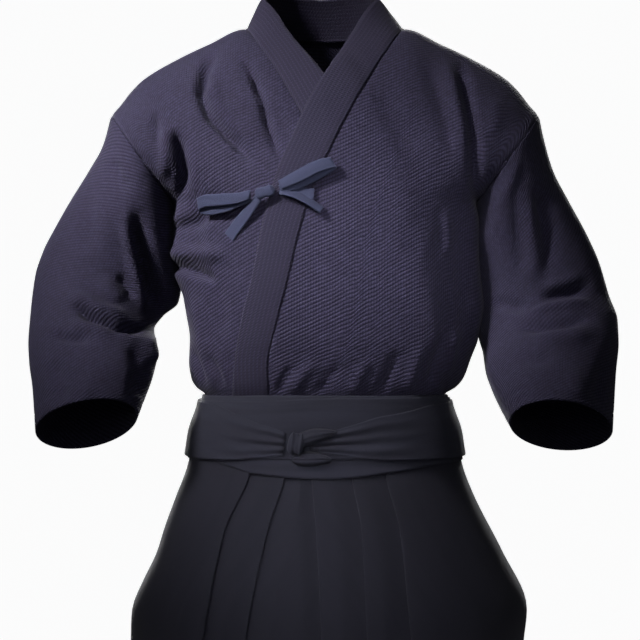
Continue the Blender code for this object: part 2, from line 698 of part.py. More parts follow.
def sleeve_fold_height(side, turn, along):
    """Height of the sleeve's folds at an angle round it and a share of the way along it."""
    folds = SLEEVE_FOLDS[side]
    round_scale = SLEEVE_GIRTH / 360
    flat = {"width": folds["width"], "height": folds["height"]}
    for end in "01":
        flat["x" + end] = folds["turn" + end] * round_scale
        flat["z" + end] = folds["along" + end] * SLEEVE_LENGTH
    return fold_height(turn * round_scale, along * SLEEVE_LENGTH, flat)


def sleeve_points(side, turns):
    """A sleeve as rings from the armhole to the cuff, each an oval through its table's points."""
    sizes = {name: column[:, None] for name, column in SLEEVES[side].items()}
    rings = len(sizes["outer_x"])
    out, forward = np.cos(np.radians(turns)), np.sin(np.radians(turns))
    x = (sizes["outer_x"] + sizes["inner_x"]) / 2 + (sizes["outer_x"] - sizes["inner_x"]) / 2 * out
    z = (sizes["outer_z"] + sizes["inner_z"]) / 2 + (sizes["outer_z"] - sizes["inner_z"]) / 2 * out
    x = x - sizes["lean"] * forward
    y = sizes["middle"] - np.where(forward > 0, sizes["front"], sizes["back"]) * forward
    z = z + np.where(forward > 0, sizes["rise"], sizes["drop"]) * forward
    points = np.stack([x, y, z], axis=2)
    along = np.linspace(0, 1, rings)
    height = sleeve_fold_height(side, turns[None, :], along[:, None])
    height *= (ease(0.0, 0.15, along) * ease(1.0, 0.9, along))[:, None]
    outward = grid_normals(points, closed=True)
    centre = points.mean(axis=1, keepdims=True)
    outward *= np.sign(np.sum(outward * (points - centre), axis=2, keepdims=True))
    points = points + outward * height[..., None]
    start_gap = SLEEVE_START[0] + SLEEVE_START[1] * (1 - out) ** 2 / 4
    points[0, :, 0] += ARMHOLE_OUTWARD[0] * start_gap
    points[0, :, 2] += ARMHOLE_OUTWARD[1] * start_gap
    return points if side == "left" else points * [-1, 1, 1]


# Collar band


def collar_half(sign, across):
    """The band on one side, from the hem to the shoulder and on to the middle of the back neck."""
    z = np.array(LOWER_ROWS[::-1])
    turns = [turn for turn in UPPER_TURNS[::-1] if turn > NECK_BACK_TURN]
    upper_x = np.array([upper_inner_x(turn, "front") for turn in turns])
    upper_z = np.array([chest_point(x, turn, "front")[1] for x, turn in zip(upper_x, turns)])
    seam_z = np.concatenate([z, upper_z])
    edge_x = read(COLLAR_FRONT, "seam_z", "edge_x", seam_z)
    edge_z = read(COLLAR_FRONT, "seam_z", "edge_z", seam_z)
    shares = across[None, :]
    lying_x = (seam_x(seam_z) - SEAM_HALF)[:, None] * (1 - shares) + edge_x[:, None] * shares
    lying_z = seam_z[:, None] * (1 - shares) + edge_z[:, None] * shares
    depth = front_depth(sign * lying_x, lying_z)
    lying = np.stack([sign * lying_x, -depth, lying_z], axis=2)
    neck = []
    for face, edges in (("front", NECK_EDGE_FRONT), ("back", NECK_EDGE_BACK)):
        near = [turn for turn in UPPER_TURNS if turn <= NECK_BACK_TURN]
        for turn in near[::-1] if face == "front" else near[1:]:
            x = float(upper_inner_x(turn, face))
            y, seam_height = chest_point(x, turn, face)
            seam = np.array([x, -y if face == "front" else y, seam_height])
            edge = np.array([read(edges, "turn", n, turn) for n in "xyz"])
            start = NECK_SEAM_SHARE + (1 - NECK_SEAM_SHARE) * across[:, None]
            neck.append((seam * (1 - start) + edge * start) * [sign, 1, 1])
    return np.concatenate([lying, np.array(neck)])


def collar_points():
    """The whole band from the left hem round the neck to the right hem."""
    left, right = (collar_half(sign, COLLAR_SHARES) for sign in (1, -1))
    points = np.concatenate([left, right[-2::-1]])
    outward = grid_normals(points)
    outward *= np.sign(outward[0, 0, 1]) * -1
    on_left = (np.arange(len(points)) < len(left))[:, None]
    lift = COLLAR_LIFT + overlap_lift(points[..., 0], points[..., 2]) * on_left * (points[..., 1] < 0)
    points = points + outward * lift[..., None]
    points[..., 0] += NECK_SHIFT * ease(-0.068, 0.0, points[..., 2]) * COLLAR_SHARES[None, :]
    return points


# Trousers


def waist_section(z, face):
    """Points and outward directions along half the trousers' section, from one side to the other,
    with the running length."""
    turn = np.linspace(0, math.pi, 361)
    half, depth = read(TROUSERS, "z", "half", z), read(TROUSERS, "z", face, z)
    x = half * signed_power(np.cos(turn), 2 / OVAL_POWER)
    y = depth * np.sin(turn) ** (2 / OVAL_POWER)
    points = np.stack([x, -y if face == "front" else y], axis=1)
    along = np.gradient(points, axis=0)
    outward = unit(np.stack([along[:, 1], -along[:, 0]], axis=1))
    outward *= np.sign(np.sum(outward * points, axis=1, keepdims=True))
    length = np.concatenate([[0], np.cumsum(np.linalg.norm(np.diff(points, axis=0), axis=1))])
    return points, outward, length


def place_on_section(z, face, lengths, insets):
    points, outward, length = waist_section(z, face)
    at = np.stack([np.interp(lengths, length, points[:, i]) for i in range(2)], axis=1)
    out = unit(np.stack([np.interp(lengths, length, outward[:, i]) for i in range(2)], axis=1))
    at = at - out * np.asarray(insets)[:, None]
    return np.column_stack([at, np.full(len(at), z)])


def pleat_path(edge, pitch, tuck):
    """Six points of one knife pleat: round its folded edge, back under by the tuck, and round again."""
    half = pitch / 2
    lengths = [edge - half, edge, edge - half, edge - tuck + half, edge - tuck, edge - tuck + half]
    return lengths, [0, half, pitch, pitch, pitch * 1.5, pitch * 2]


def panel_row(z, side, face):
    """One row of a trouser panel on the wearer's left, from the side to the centre seam."""
    points, _, length = waist_section(z, face)
    pitch, tuck = float(read(PLEATS, "z", "pitch", z)), float(read(PLEATS, "z", "tuck", z))
    names = PLEAT_NAMES["back" if face == "back" else side]
    edges = [float(read(PLEATS, "z", name, z)) for name in names]
    centre = float(read(PLEATS, "z", "left_1", z)) + CENTRE_LAP
    if face == "back":
        centre = SEAM_HALF
    elif side == "right":
        centre = SEAM_HALF * 2 - centre
    stops = np.interp([-e for e in edges + [centre]], -points[:, 0], length)
    lengths, insets = [float(read(SLITS, "z", face, z))], [0.0]
    for i, edge in enumerate(stops[:-1]):
        free = edge - tuck - lengths[-1]
        lengths += [lengths[-1] + free * share for share in (0.3, 0.65)]
        insets += [0.0, 0.0]
        path = pleat_path(edge, pitch, tuck)
        lengths += path[0]
        insets += path[1]
        last = i == len(stops) - 2
        if not last:
            lengths += [edge, edge + PLEAT_RISE]
            insets += [pitch * 2, 0.0]
    end = stops[-1]
    if side == "right" or face == "back":
        start = stops[-2]
        shares = np.array([0.0, 0.3, 0.6, 0.85, 1.0]) if face == "front" else np.array([1.0])
        reach = start + (end - start) * shares
        near, far = CENTRE_REACH
        free = np.minimum(ease(start, start + PLEAT_RISE, reach), ease(end - near, end - far, reach))
        lengths += reach.tolist()
        insets += (pitch * 2 * (1 - free)).tolist()
    else:
        lengths.append(end)
        insets.append(pitch * 2)
    return place_on_section(z, face, np.array(lengths), np.array(insets))


def trouser_panel_points(side, face):
    """A trouser panel as rows by height. The right panels' outer part is taken in at the hip."""
    points = np.array([panel_row(z, side, face) for z in TROUSER_ROWS])
    if side == "left":
        return points
    share = read(HIP_TAKE_IN, "z", "share", points[..., 2])
    points[..., 0] *= 1 - share * ease(*HIP_REACH, points[..., 0])
    return points * [-1, 1, 1]


def inner_leg_points(side):
    """An inner leg panel, from just behind the front panels to just before the back panels."""
    rows = []
    for z in [row for row in TROUSER_ROWS if row < CROTCH_Z]:
        x = float(read(INNER_LEG, "z", side, z))
        lap = float(read(INNER_LEG, "z", "inset", z))
        pitch = float(read(PLEATS, "z", "pitch", z))
        front = -float(read(TROUSERS, "z", "front", z)) + 2 * pitch + lap - INNER_LEG_OVERHANG
        back = float(read(TROUSERS, "z", "back", z)) - 2 * pitch - lap + INNER_LEG_OVERHANG
        shares = np.linspace(0, 1, INNER_LEG_COLUMNS)
        bow = 0.6 + 0.4 * np.sin(shares * math.pi)
        rows.append(np.column_stack([x * bow, front + (back - front) * shares, z + 0 * shares]))
    return np.array(rows)


# Straps and board


def ring_point(turn, z, outset):
    """A point on the trousers' oval at an angle from the wearer's left side towards the front."""
    angle = np.radians(turn)
    half = read(TROUSERS, "z", "half", z)
    front, back = read(TROUSERS, "z", "front", z), read(TROUSERS, "z", "back", z)
    x = half * signed_power(np.cos(angle), 2 / OVAL_POWER)
    sine = np.sin(angle)
    y = -np.where(sine > 0, front, back) * signed_power(sine, 2 / OVAL_POWER)
    outward = unit(np.stack([x / half**2, y / np.where(sine > 0, front, back) ** 2], axis=-1))
    return np.stack([x + outward[..., 0] * outset, y + outward[..., 1] * outset, z + 0 * x], axis=-1)


def wrap_points(edges, outset):
    """A strap wound once round the waist, as a closed ring with its top and bottom edges."""
    turns = np.arange(-90.0, 270.0, STRAP_TURN_STEP)
    shares = np.linspace(0, 1, 3)[:, None]
    top, bottom = read(edges, "turn", "top", turns), read(edges, "turn", "bottom", turns)
    z = top * (1 - shares) + bottom * shares
    return ring_point(turns[None, :] + 0 * shares, z, outset)


def strap_points(side):
    """Half of the back strap, from the board round one side to the knot in front."""
    edges = STRAPS[side]
    first, last = edges["turn"][0], edges["turn"][-1]
    turns = np.arange(math.ceil(first / STRAP_TURN_STEP) * STRAP_TURN_STEP, last, STRAP_TURN_STEP)
    turns = np.concatenate([[first], turns, [last]])
    shares = np.linspace(0, 1, 3)[:, None]
    z = read(edges, "turn", "top", turns) * (1 - shares) + read(edges, "turn", "bottom", turns) * shares
    points = ring_point(turns[None, :] + 0 * shares, z, STRAP_OUTSET)
    return points if side == "left" else points * [-1, 1, 1]


def strap_end_points(edges):
    """A flat strap end beside the knot, as rows of three points."""
    rows = []
    for x, top, bottom, outset in zip(edges["x"], edges["top"], edges["bottom"], edges["outset"]):
        z = np.linspace(top, bottom, 3)
        share = signed_power(x / read(TROUSERS, "z", "half", z), OVAL_POWER / 2)
        domed = outset + STRAP_END_CURL * np.array([-1, 1, -1])
        rows.append(ring_point(np.degrees(np.arccos(share)), z, domed))
    return np.array(rows)


def board_points():
    """The stiff board behind the waist, narrower at its top."""
    rows = []
    for z, half, depth in zip(BOARD["z"], BOARD["half"], BOARD["depth"]):
        x = np.linspace(-half, half, 13)
        section_half = float(read(TROUSERS, "z", "half", min(z, TROUSERS["z"][0]))) + BOARD_CLEARANCE
        rows.append(np.column_stack([x, oval_depth(x, section_half, depth), np.full_like(x, z)]))
    return np.array(rows)


# Chest bow and knots


def tape_points(path):
    """A tape's sheet: three points across for each row of its path, above the jacket's front."""
    shares = np.array([-0.5, 0.0, 0.5])[None, :]
    reach = path["width"][:, None] * shares
    angle = np.radians(path["angle"])[:, None]
    x = path["x"][:, None] + reach * np.sin(angle)
    z = path["z"][:, None] + reach * np.cos(angle)
    above = front_point(path["x"], path["z"], path["height"] + TIE_RISE)
    level = front_point(path["x"], path["z"], 0 * path["height"])
    rise = (above - level)[:, None, :]
    return front_point(x, z, 0 * x) + rise


def knot_object(name, centre, size, tilt, material):
    """A pulled knot: a ball flattened to its size, with a waist pinched by the tape over it."""
    bpy.ops.mesh.primitive_uv_sphere_add(segments=16, ring_count=10, radius=1.0)
    knot = bpy.context.object
    knot.name = name
    knot.data.name = name
    points = np.empty(len(knot.data.vertices) * 3)
    knot.data.vertices.foreach_get("co", points)
    points = signed_power(points.reshape(-1, 3), 0.8)
    pinch = 1 - 0.14 * np.cos(points[:, 0] * math.pi)
    points[:, 1:] *= pinch[:, None]
    points *= np.array(size)
    angle = math.radians(tilt)
    x = points[:, 0] * math.cos(angle) - points[:, 2] * math.sin(angle)
    z = points[:, 0] * math.sin(angle) + points[:, 2] * math.cos(angle)
    points = np.column_stack([x, points[:, 1], z]) + centre
    knot.data.vertices.foreach_set("co", points.ravel())
    knot.data.shade_smooth()
    knot.data.materials.append(material)
    for collection in list(knot.users_collection):
        collection.objects.unlink(knot)
    COLLECTION.objects.link(knot)
    return knot


# The model

COLLECTION = bpy.data.collections.new("kendo_uniform")


def build_jacket():
    woven = cloth_material("jacket_cotton", (0.042, 0.038, 0.075), 0.85)
    band = cloth_material("collar_cotton", (0.030, 0.029, 0.050), 0.80)
    tape = cloth_material("tie_tape", (0.052, 0.058, 0.115), 0.75)
    turns = np.arange(0.0, 360.0, 15.0)
    for side in ("left", "right"):
        sheet_object("jacket_body_" + side, body_points(side), woven, JACKET_CLOTH)
        sheet_object("sleeve_" + side, sleeve_points(side, turns), woven, JACKET_CLOTH, closed=True)
    sheet_object("collar", collar_points(), band, COLLAR_CLOTH)
    for name, path in TAPES.items():
        sheet_object(name, tape_points(path), tape, TIE_CLOTH)
    knot_x, knot_z = np.array([TIE_KNOT["x"]]), np.array([TIE_KNOT["z"]])
    centre = front_point(knot_x, knot_z, TIE_KNOT["height"] + TIE_RISE)[0]
    knot_object("tie_knot", centre, TIE_KNOT["size"], TIE_KNOT["tilt"], tape)


def build_trousers():
    plain = cloth_material("trouser_cotton", (0.024, 0.024, 0.036), 0.80)
    for side in ("left", "right"):
        for face in ("front", "back"):
            points = trouser_panel_points(side, face)
            sheet_object(f"trouser_{face}_{side}", points, plain, TROUSER_CLOTH)
        sheet_object("inner_leg_" + side, inner_leg_points(side), plain, TROUSER_CLOTH)
        sheet_object("back_strap_" + side, strap_points(side), plain, STRAP_CLOTH)
    wraps = (("inner", WRAP_INNER, WRAP_INNER_OUTSET), ("outer", WRAP_OUTER, WRAP_OUTER_OUTSET))
    for name, edges, outset in wraps:
        sheet_object("front_strap_" + name, wrap_points(edges, outset), plain, STRAP_CLOTH, closed=True)
    sheet_object("back_board", board_points(), plain, BOARD_THICKNESS)
    for name, edges in STRAP_ENDS.items():
        sheet_object(name, strap_end_points(edges), plain, STRAP_CLOTH)
    half = float(read(TROUSERS, "z", "half", STRAP_KNOT["z"]))
    turn = math.degrees(math.acos(signed_power(STRAP_KNOT["x"] / half, OVAL_POWER / 2)))
    centre = ring_point(np.array([turn]), np.array([STRAP_KNOT["z"]]), STRAP_KNOT["outset"])[0]
    knot_object("strap_knot", centre, STRAP_KNOT["size"], STRAP_KNOT["tilt"], plain)


def main():
    clear_scene()
    bpy.context.scene.collection.children.link(COLLECTION)
    build_jacket()
    build_trousers()


main()
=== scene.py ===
# %% [markdown]
# # Kendo uniform, worn and hollow
#
# A woven cotton jacket is crossed left over right and tied with a bow at the chest. Divided,
# pleated trousers go over it, with straps wound round the waist and knotted in front. This
# script dresses the packed solids: each cloth piece becomes a fine thin sheet with its creases,
# its weave and its sewing. Everything is in metres, +Z is up, the front faces -Y, and "left"
# in a name is the garment's own left, towards +X, on the right of the picture.

import json
import math

import bpy
import numpy as np
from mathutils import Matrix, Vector

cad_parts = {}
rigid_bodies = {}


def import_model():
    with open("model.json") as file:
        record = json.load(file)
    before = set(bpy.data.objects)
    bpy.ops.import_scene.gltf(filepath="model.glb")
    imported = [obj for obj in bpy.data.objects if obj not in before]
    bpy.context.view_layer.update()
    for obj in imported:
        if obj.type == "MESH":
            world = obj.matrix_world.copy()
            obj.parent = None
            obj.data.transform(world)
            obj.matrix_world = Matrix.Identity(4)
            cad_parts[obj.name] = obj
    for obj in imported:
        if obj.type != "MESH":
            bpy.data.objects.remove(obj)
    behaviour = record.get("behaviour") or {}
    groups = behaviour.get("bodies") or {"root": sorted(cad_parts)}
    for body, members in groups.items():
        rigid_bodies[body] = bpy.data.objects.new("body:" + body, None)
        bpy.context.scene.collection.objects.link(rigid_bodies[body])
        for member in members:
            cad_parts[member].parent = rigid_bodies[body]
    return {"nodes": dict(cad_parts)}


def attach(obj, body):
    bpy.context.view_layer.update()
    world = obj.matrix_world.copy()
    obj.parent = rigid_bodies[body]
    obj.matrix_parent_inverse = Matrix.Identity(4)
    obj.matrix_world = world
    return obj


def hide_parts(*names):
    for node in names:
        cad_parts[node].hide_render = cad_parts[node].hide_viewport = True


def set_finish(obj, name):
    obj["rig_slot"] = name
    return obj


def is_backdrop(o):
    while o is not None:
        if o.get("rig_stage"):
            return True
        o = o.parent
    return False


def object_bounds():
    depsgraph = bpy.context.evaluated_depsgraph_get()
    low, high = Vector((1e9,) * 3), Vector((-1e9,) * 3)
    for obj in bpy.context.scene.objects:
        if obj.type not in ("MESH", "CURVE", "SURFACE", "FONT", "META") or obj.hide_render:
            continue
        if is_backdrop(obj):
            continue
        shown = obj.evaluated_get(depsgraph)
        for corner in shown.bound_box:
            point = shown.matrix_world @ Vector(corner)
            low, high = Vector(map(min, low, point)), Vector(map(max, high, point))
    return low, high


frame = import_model()
CAD_BOX = [list(corner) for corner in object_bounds()]
print("nodes in the frame:", len(frame["nodes"]))

# %% [markdown]
# The photograph looks straight at the chest from about three metres away, through a long lens,
# and it cuts the trousers off below the hips. The camera is level, so that upright lines stay
# upright, and its lens follows from the width of cloth that the picture spans.

# %% Camera
VIEW_CENTRE = (-0.0065, -0.377)
VIEW_DISTANCE = 3.2
VIEW_WIDTH = 0.832
SENSOR = 36.0

camera_data = bpy.data.cameras.new("camera")
camera_data.sensor_width = SENSOR
camera_data.lens = SENSOR * VIEW_DISTANCE / VIEW_WIDTH
camera_data.clip_start = 0.05
camera_data.clip_end = 200.0
camera = bpy.data.objects.new("camera", camera_data)
camera.location = (VIEW_CENTRE[0], -VIEW_DISTANCE, VIEW_CENTRE[1])
camera.rotation_euler = (math.pi / 2, 0.0, 0.0)
bpy.context.scene.collection.objects.link(camera)
bpy.context.scene.camera = camera
print("lens", round(camera_data.lens, 1), "mm")

# %% [markdown]
# Shapes here are read from short tables of sizes. A cubic that never overshoots its rows joins
# them, so a finer grid shows the same form as the solids, only smoother.

# %% Tables and curves
OVAL_POWER = 2.4
HALVINGS = 24


def table(names, *rows):
    """Rows of sizes under named columns, kept as one array for each column."""
    return dict(zip(names.split(), np.array(rows, float).T))


def read(columns, key, name, at):
    """A column read at any value of its key column: a cubic whose slope at each row is the harmonic
    mean of its neighbours' slopes, or zero at a turning point, so it never overshoots."""
    x, y = columns[key], columns[name]
    if x[0] > x[-1]:
        x, y = x[::-1], y[::-1]
    step = np.diff(x)
    slope = np.diff(y) / step
    same_way = slope[1:] * slope[:-1] > 0
    total = np.where(same_way, slope[1:] + slope[:-1], 1.0)
    inner = np.where(same_way, 2 * slope[1:] * slope[:-1] / total, 0.0)
    tangent = np.concatenate([slope[:1], inner, slope[-1:]])
    at = np.clip(np.asarray(at, float), x[0], x[-1])
    i = np.clip(np.searchsorted(x, at) - 1, 0, len(step) - 1)
    u = (at - x[i]) / step[i]
    start = y[i] * (1 + 2 * u) + tangent[i] * step[i] * u
    end = y[i + 1] * (3 - 2 * u) + tangent[i + 1] * step[i] * (u - 1)
    return start * (1 - u) ** 2 + end * u**2


def ease(low, high, at):
    """0 at low and 1 at high with a smooth step between them. low may be the larger."""
    share = np.clip((np.asarray(at, float) - low) / (high - low), 0, 1)
    return share * share * (3 - 2 * share)


def signed_power(value, power):
    """The value's size raised to the power, with its sign kept."""
    return np.sign(value) * np.abs(value) ** power


def solve_rising(function, low, high):
    """Where a rising function crosses zero, by halving the interval."""
    for _ in range(HALVINGS):
        middle = (low + high) / 2
        below = function(middle) < 0
        low = np.where(below, middle, low)
        high = np.where(below, high, middle)
    return (low + high) / 2


print("half way up a smooth step:", float(ease(0.0, 1.0, 0.5)))

# %% [markdown]
# A grid of points tells its own measures: its slopes along rows and columns give the normals
# that creases rise along, and summed steps give lengths on the cloth, for seams and the weave.

# %% Measures of a grid
def unit(vectors):
    """Vectors scaled to length one."""
    return vectors / np.maximum(np.linalg.norm(vectors, axis=-1, keepdims=True), 1e-9)


def grid_normals(points, closed=False):
    """Unit normals of a grid: its slope along the rows crossed with its slope along the columns."""
    if closed:
        across = np.roll(points, -1, axis=1) - np.roll(points, 1, axis=1)
    else:
        across = np.gradient(points, axis=1)
    return unit(np.cross(np.gradient(points, axis=0), across))


def running_length(points, axis):
    """Distance run along the grid in one direction, from its first row or column."""
    steps = np.linalg.norm(np.diff(points, axis=axis), axis=2)
    shape = (1, points.shape[1]) if axis == 0 else (points.shape[0], 1)
    return np.concatenate([np.zeros(shape), np.cumsum(steps, axis=axis)], axis=axis)


print("3, 0, 4 scaled to length one:", unit(np.array([3.0, 0.0, 4.0])))

# %% [markdown]
# Every cloth piece is a grid of points: rows run along the cloth and columns across it. The
# grid carries a UV map in metres, so that a weave keeps its real scale on every piece, and
# Solidify gives it the cloth's thickness. A piece rides on the one body of the garment and
# stands for the solid of the same name.

# %% From a grid to a piece
PIECES = {}


def grid_faces(rows, columns, closed):
    """Four corners of each cell, row by row. A closed grid joins its last column to its first."""
    wide = columns if closed else columns - 1
    row, column = np.meshgrid(np.arange(rows - 1), np.arange(wide), indexing="ij")
    beside = (column + 1) % columns
    start, above = row * columns, (row + 1) * columns
    return np.stack([start + column, start + beside, above + beside, above + column], axis=-1).reshape(-1, 4)


def cell_corners(values):
    """The value at each cell's four corners. A closed grid has one more column of values than of
    points, so that its last cell ends at a full turn."""
    return np.stack([values[:-1, :-1], values[:-1, 1:], values[1:, 1:], values[1:, :-1]], axis=2)


def grid_mesh(name, points, uv, closed=False):
    """A mesh from a grid of points, with one UV pair for each point in the map called cloth."""
    mesh = bpy.data.meshes.new(name)
    rows, columns = points.shape[:2]
    faces = grid_faces(rows, columns, closed)
    mesh.vertices.add(rows * columns)
    mesh.vertices.foreach_set("co", points.reshape(-1).astype(np.float32))
    mesh.loops.add(faces.size)
    mesh.loops.foreach_set("vertex_index", faces.reshape(-1).astype(np.int32))
    mesh.polygons.add(len(faces))
    mesh.polygons.foreach_set("loop_start", np.arange(0, faces.size, 4, dtype=np.int32))
    corners = cell_corners(uv)
    mesh.uv_layers.new(name="cloth")
    mesh.uv_layers["cloth"].uv.foreach_set("vector", corners.reshape(-1).astype(np.float32))
    mesh.update(calc_edges=True)
    mesh.validate()
    mesh.shade_smooth()
    return mesh


def cloth_piece(node, points, uv, thickness, slot, closed=False):
    """A grid as a sheet of cloth of that thickness, which stands for the solid of the same name."""
    piece = bpy.data.objects.new(node + "_cloth", grid_mesh(node + "_cloth", points, uv, closed))
    bpy.context.scene.collection.objects.link(piece)
    wall = piece.modifiers.new("cloth", "SOLIDIFY")
    wall.thickness = thickness
    wall.offset = 0.0
    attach(piece, "root")
    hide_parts(node)
    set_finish(piece, slot)
    PIECES[node] = piece
    along, across = np.diff(points, axis=0)[:, :-1], np.diff(points, axis=1)[:-1]
    area = np.linalg.norm(np.cross(along, across), axis=2).sum()
    print(f"{node}: {points.shape[0]} x {points.shape[1]} points, {area:.3f} square metres")
    return piece


# %% [markdown]
# The jacket is cut from straight panels: each body half runs from the front hem over the
# shoulder to the back hem, with no shoulder seam, and the sleeves start at a dropped armhole.
# Below the underarm its sections are rounded ovals. Above it, each row is part of an oval that
# passes through the armhole's edge. Cloth simulation was weighed for it, but the hollow garment
# has nothing to drape over, so the form is worked out and its creases are placed one by one.

# %% Sizes of the jacket
JACKET_CLOTH = 0.0020
COLLAR_CLOTH = 0.0040
SEAM_HALF = 0.0003
SHOULDER_TIP_X = 0.276
SHOULDER_TIP_Z = -0.112
UNDERARM_X = 0.195
UNDERARM_Z = -0.225
ARMHOLE_DEPTH = {"front": 0.085, "back": 0.080}
NECK_HALF_WIDTH = 0.100
NECK_BACK_TURN = 45.0
NECK_SHIFT = -0.006
SMALLEST_TURN = 0.01

BODY = table(
    "z       left    right   front   back",
    (-0.225, 0.1950, 0.1950, 0.1260, 0.1180),
    (-0.255, 0.1890, 0.1880, 0.1270, 0.1150),
    (-0.300, 0.1880, 0.1850, 0.1280, 0.1110),
    (-0.335, 0.1910, 0.1840, 0.1280, 0.1080),
    (-0.370, 0.1950, 0.1790, 0.1270, 0.1050),
    (-0.400, 0.1960, 0.1745, 0.1250, 0.1030),
    (-0.430, 0.1870, 0.1755, 0.1180, 0.1010),
    (-0.452, 0.1785, 0.1725, 0.1110, 0.0985),
    (-0.464, 0.1680, 0.1655, 0.1050, 0.0965),
    (-0.471, 0.1560, 0.1560, 0.1005, 0.0950),
    (-0.482, 0.1505, 0.1510, 0.0975, 0.0940),
    (-0.520, 0.1560, 0.1560, 0.0960, 0.0950),
    (-0.565, 0.1640, 0.1640, 0.0975, 0.1010),
    (-0.640, 0.1780, 0.1780, 0.1030, 0.1130),
    (-0.740, 0.1900, 0.1900, 0.1060, 0.1220),
)
CHEST = table(
    "turn    front   front_z  back    back_z",
    (0.0, 0.0000, 0.0000, 0.0000, 0.0000),
    (15.0, 0.0240, -0.0038, 0.0475, 0.0005),
    (30.0, 0.0480, -0.0150, 0.0823, -0.0010),
    (45.0, 0.0680, -0.0330, 0.0950, -0.0050),
    (60.0, 0.0840, -0.0563, 0.1070, -0.0300),
    (75.0, 0.0970, -0.0835, 0.1150, -0.0620),
    (90.0, 0.1070, -0.1125, 0.1210, -0.1000),
    (105.0, 0.1145, -0.1415, 0.1250, -0.1350),
    (120.0, 0.1200, -0.1688, 0.1260, -0.1630),
    (135.0, 0.1230, -0.1920, 0.1245, -0.1870),
    (150.0, 0.1250, -0.2100, 0.1220, -0.2060),
    (165.0, 0.1258, -0.2211, 0.1195, -0.2200),
    (180.0, 0.1260, -0.2250, 0.1180, -0.2250),
)
print("sections of the body and of the chest:", len(BODY["z"]), len(CHEST["turn"]))

# %% [markdown]
# The shoulder line drops outwards to the armhole. The collar's seam and its free edge are read
# from the front as two lines, and round the neck its free edge is a line in space.

# %% Shoulder and collar lines
SHOULDER_LINE = table(
    "out     drop",
    (0.000, 0.000),
    (0.377, 0.000),
    (0.543, 0.174),
    (0.683, 0.339),
    (0.848, 0.580),
    (0.913, 0.741),
    (0.957, 0.884),
    (1.000, 1.000),
)
COLLAR_FRONT = table(
    "seam_z  seam_x  edge_x   edge_z",
    (-0.740, -0.0800, -0.1220, -0.740),
    (-0.600, -0.0750, -0.1190, -0.600),
    (-0.484, -0.0700, -0.1160, -0.480),
    (-0.436, -0.0715, -0.1120, -0.430),
    (-0.382, -0.0605, -0.1025, -0.372),
    (-0.333, -0.0480, -0.0900, -0.322),
    (-0.269, -0.0330, -0.0770, -0.255),
    (-0.213, -0.0160, -0.0600, -0.192),
    (-0.168, 0.0040, -0.0400, -0.146),
    (-0.124, 0.0260, -0.0190, -0.099),
    (-0.093, 0.0430, 0.0000, -0.068),
    (-0.063, 0.0600, 0.0190, -0.040),
    (-0.036, 0.0760, 0.0360, -0.0155),
    (-0.013, 0.0905, 0.0520, 0.0130),
    (0.000, 0.1000, 0.0740, 0.0400),
)
NECK_EDGE_FRONT = table(
    "turn    x       y        z",
    (0.0, 0.0740, 0.0000, 0.0400),
    (8.0, 0.0690, -0.0090, 0.0350),
    (15.0, 0.0625, -0.0170, 0.0270),
    (23.0, 0.0560, -0.0250, 0.0180),
    (30.0, 0.0500, -0.0330, 0.0080),
    (38.0, 0.0440, -0.0420, -0.0035),
    (45.0, 0.0360, -0.0520, -0.0155),
)
NECK_EDGE_BACK = table(
    "turn    x       y       z",
    (0.0, 0.0740, 0.0000, 0.0400),
    (8.0, 0.0720, 0.0180, 0.0440),
    (15.0, 0.0650, 0.0340, 0.0470),
    (23.0, 0.0520, 0.0490, 0.0490),
    (30.0, 0.0380, 0.0590, 0.0490),
    (38.0, 0.0190, 0.0650, 0.0480),
    (45.0, 0.0000, 0.0670, 0.0470),
)
print("jacket from", BODY["z"][-1], "to", NECK_EDGE_BACK["z"].max())

# %% [markdown]
# A crease is a soft trough or ridge along a line of a few points, placed as seen from the
# front. Cloth that is pushed together rises beside each trough, so its profile is a bell with
# low banks, and one side may be steeper than the other. Its depth fades towards both ends.

# %% Creases
BANK = 0.45
FOLD_STRENGTH = 1.45


def crease_height(x, z, creases):
    """Height of all creases at (x, z). Each adds its height times a bell of the distance to its
    line, less a share of the distance squared that leaves low banks, faded along the line."""
    total = np.zeros(np.broadcast(x, z).shape)
    for line, width, height, steeper in creases:
        line = np.array(line, float)
        starts, ends = line[:-1], line[1:]
        lengths = np.linalg.norm(ends - starts, axis=1)
        before = np.concatenate([[0], np.cumsum(lengths)])
        nearest = np.full(total.shape, np.inf)
        aside = np.zeros(total.shape)
        share = np.zeros(total.shape)
        for start, end, length, passed in zip(starts, ends, lengths, before):
            way = (end - start) / length
            along = np.clip((x - start[0]) * way[0] + (z - start[1]) * way[1], 0, length)
            gap_x, gap_z = x - start[0] - along * way[0], z - start[1] - along * way[1]
            gap = np.hypot(gap_x, gap_z)
            closer = gap < nearest
            nearest = np.where(closer, gap, nearest)
            aside = np.where(closer, np.sign(gap_x * way[1] - gap_z * way[0]), aside)
            share = np.where(closer, (passed + along) / before[-1], share)
        reach = nearest / (width * np.where(aside * steeper > 0, 1 - abs(steeper), 1 + abs(steeper)))
        bell = (1 - BANK * reach**2) * np.exp(-(reach**2))
        total += FOLD_STRENGTH * height * bell * ease(0.0, 0.3, share) * ease(1.0, 0.7, share)
    return total


print("creases are raised or sunk by their height times", FOLD_STRENGTH)

# %% [markdown]
# The creases of the body show how it is pulled: long ones run from the shoulders down to the
# closing, short fanned ones gather the cloth above the belt, and on the right side the cloth
# bunches under the sleeve. They are few and placed one by one, as no rule would find them.

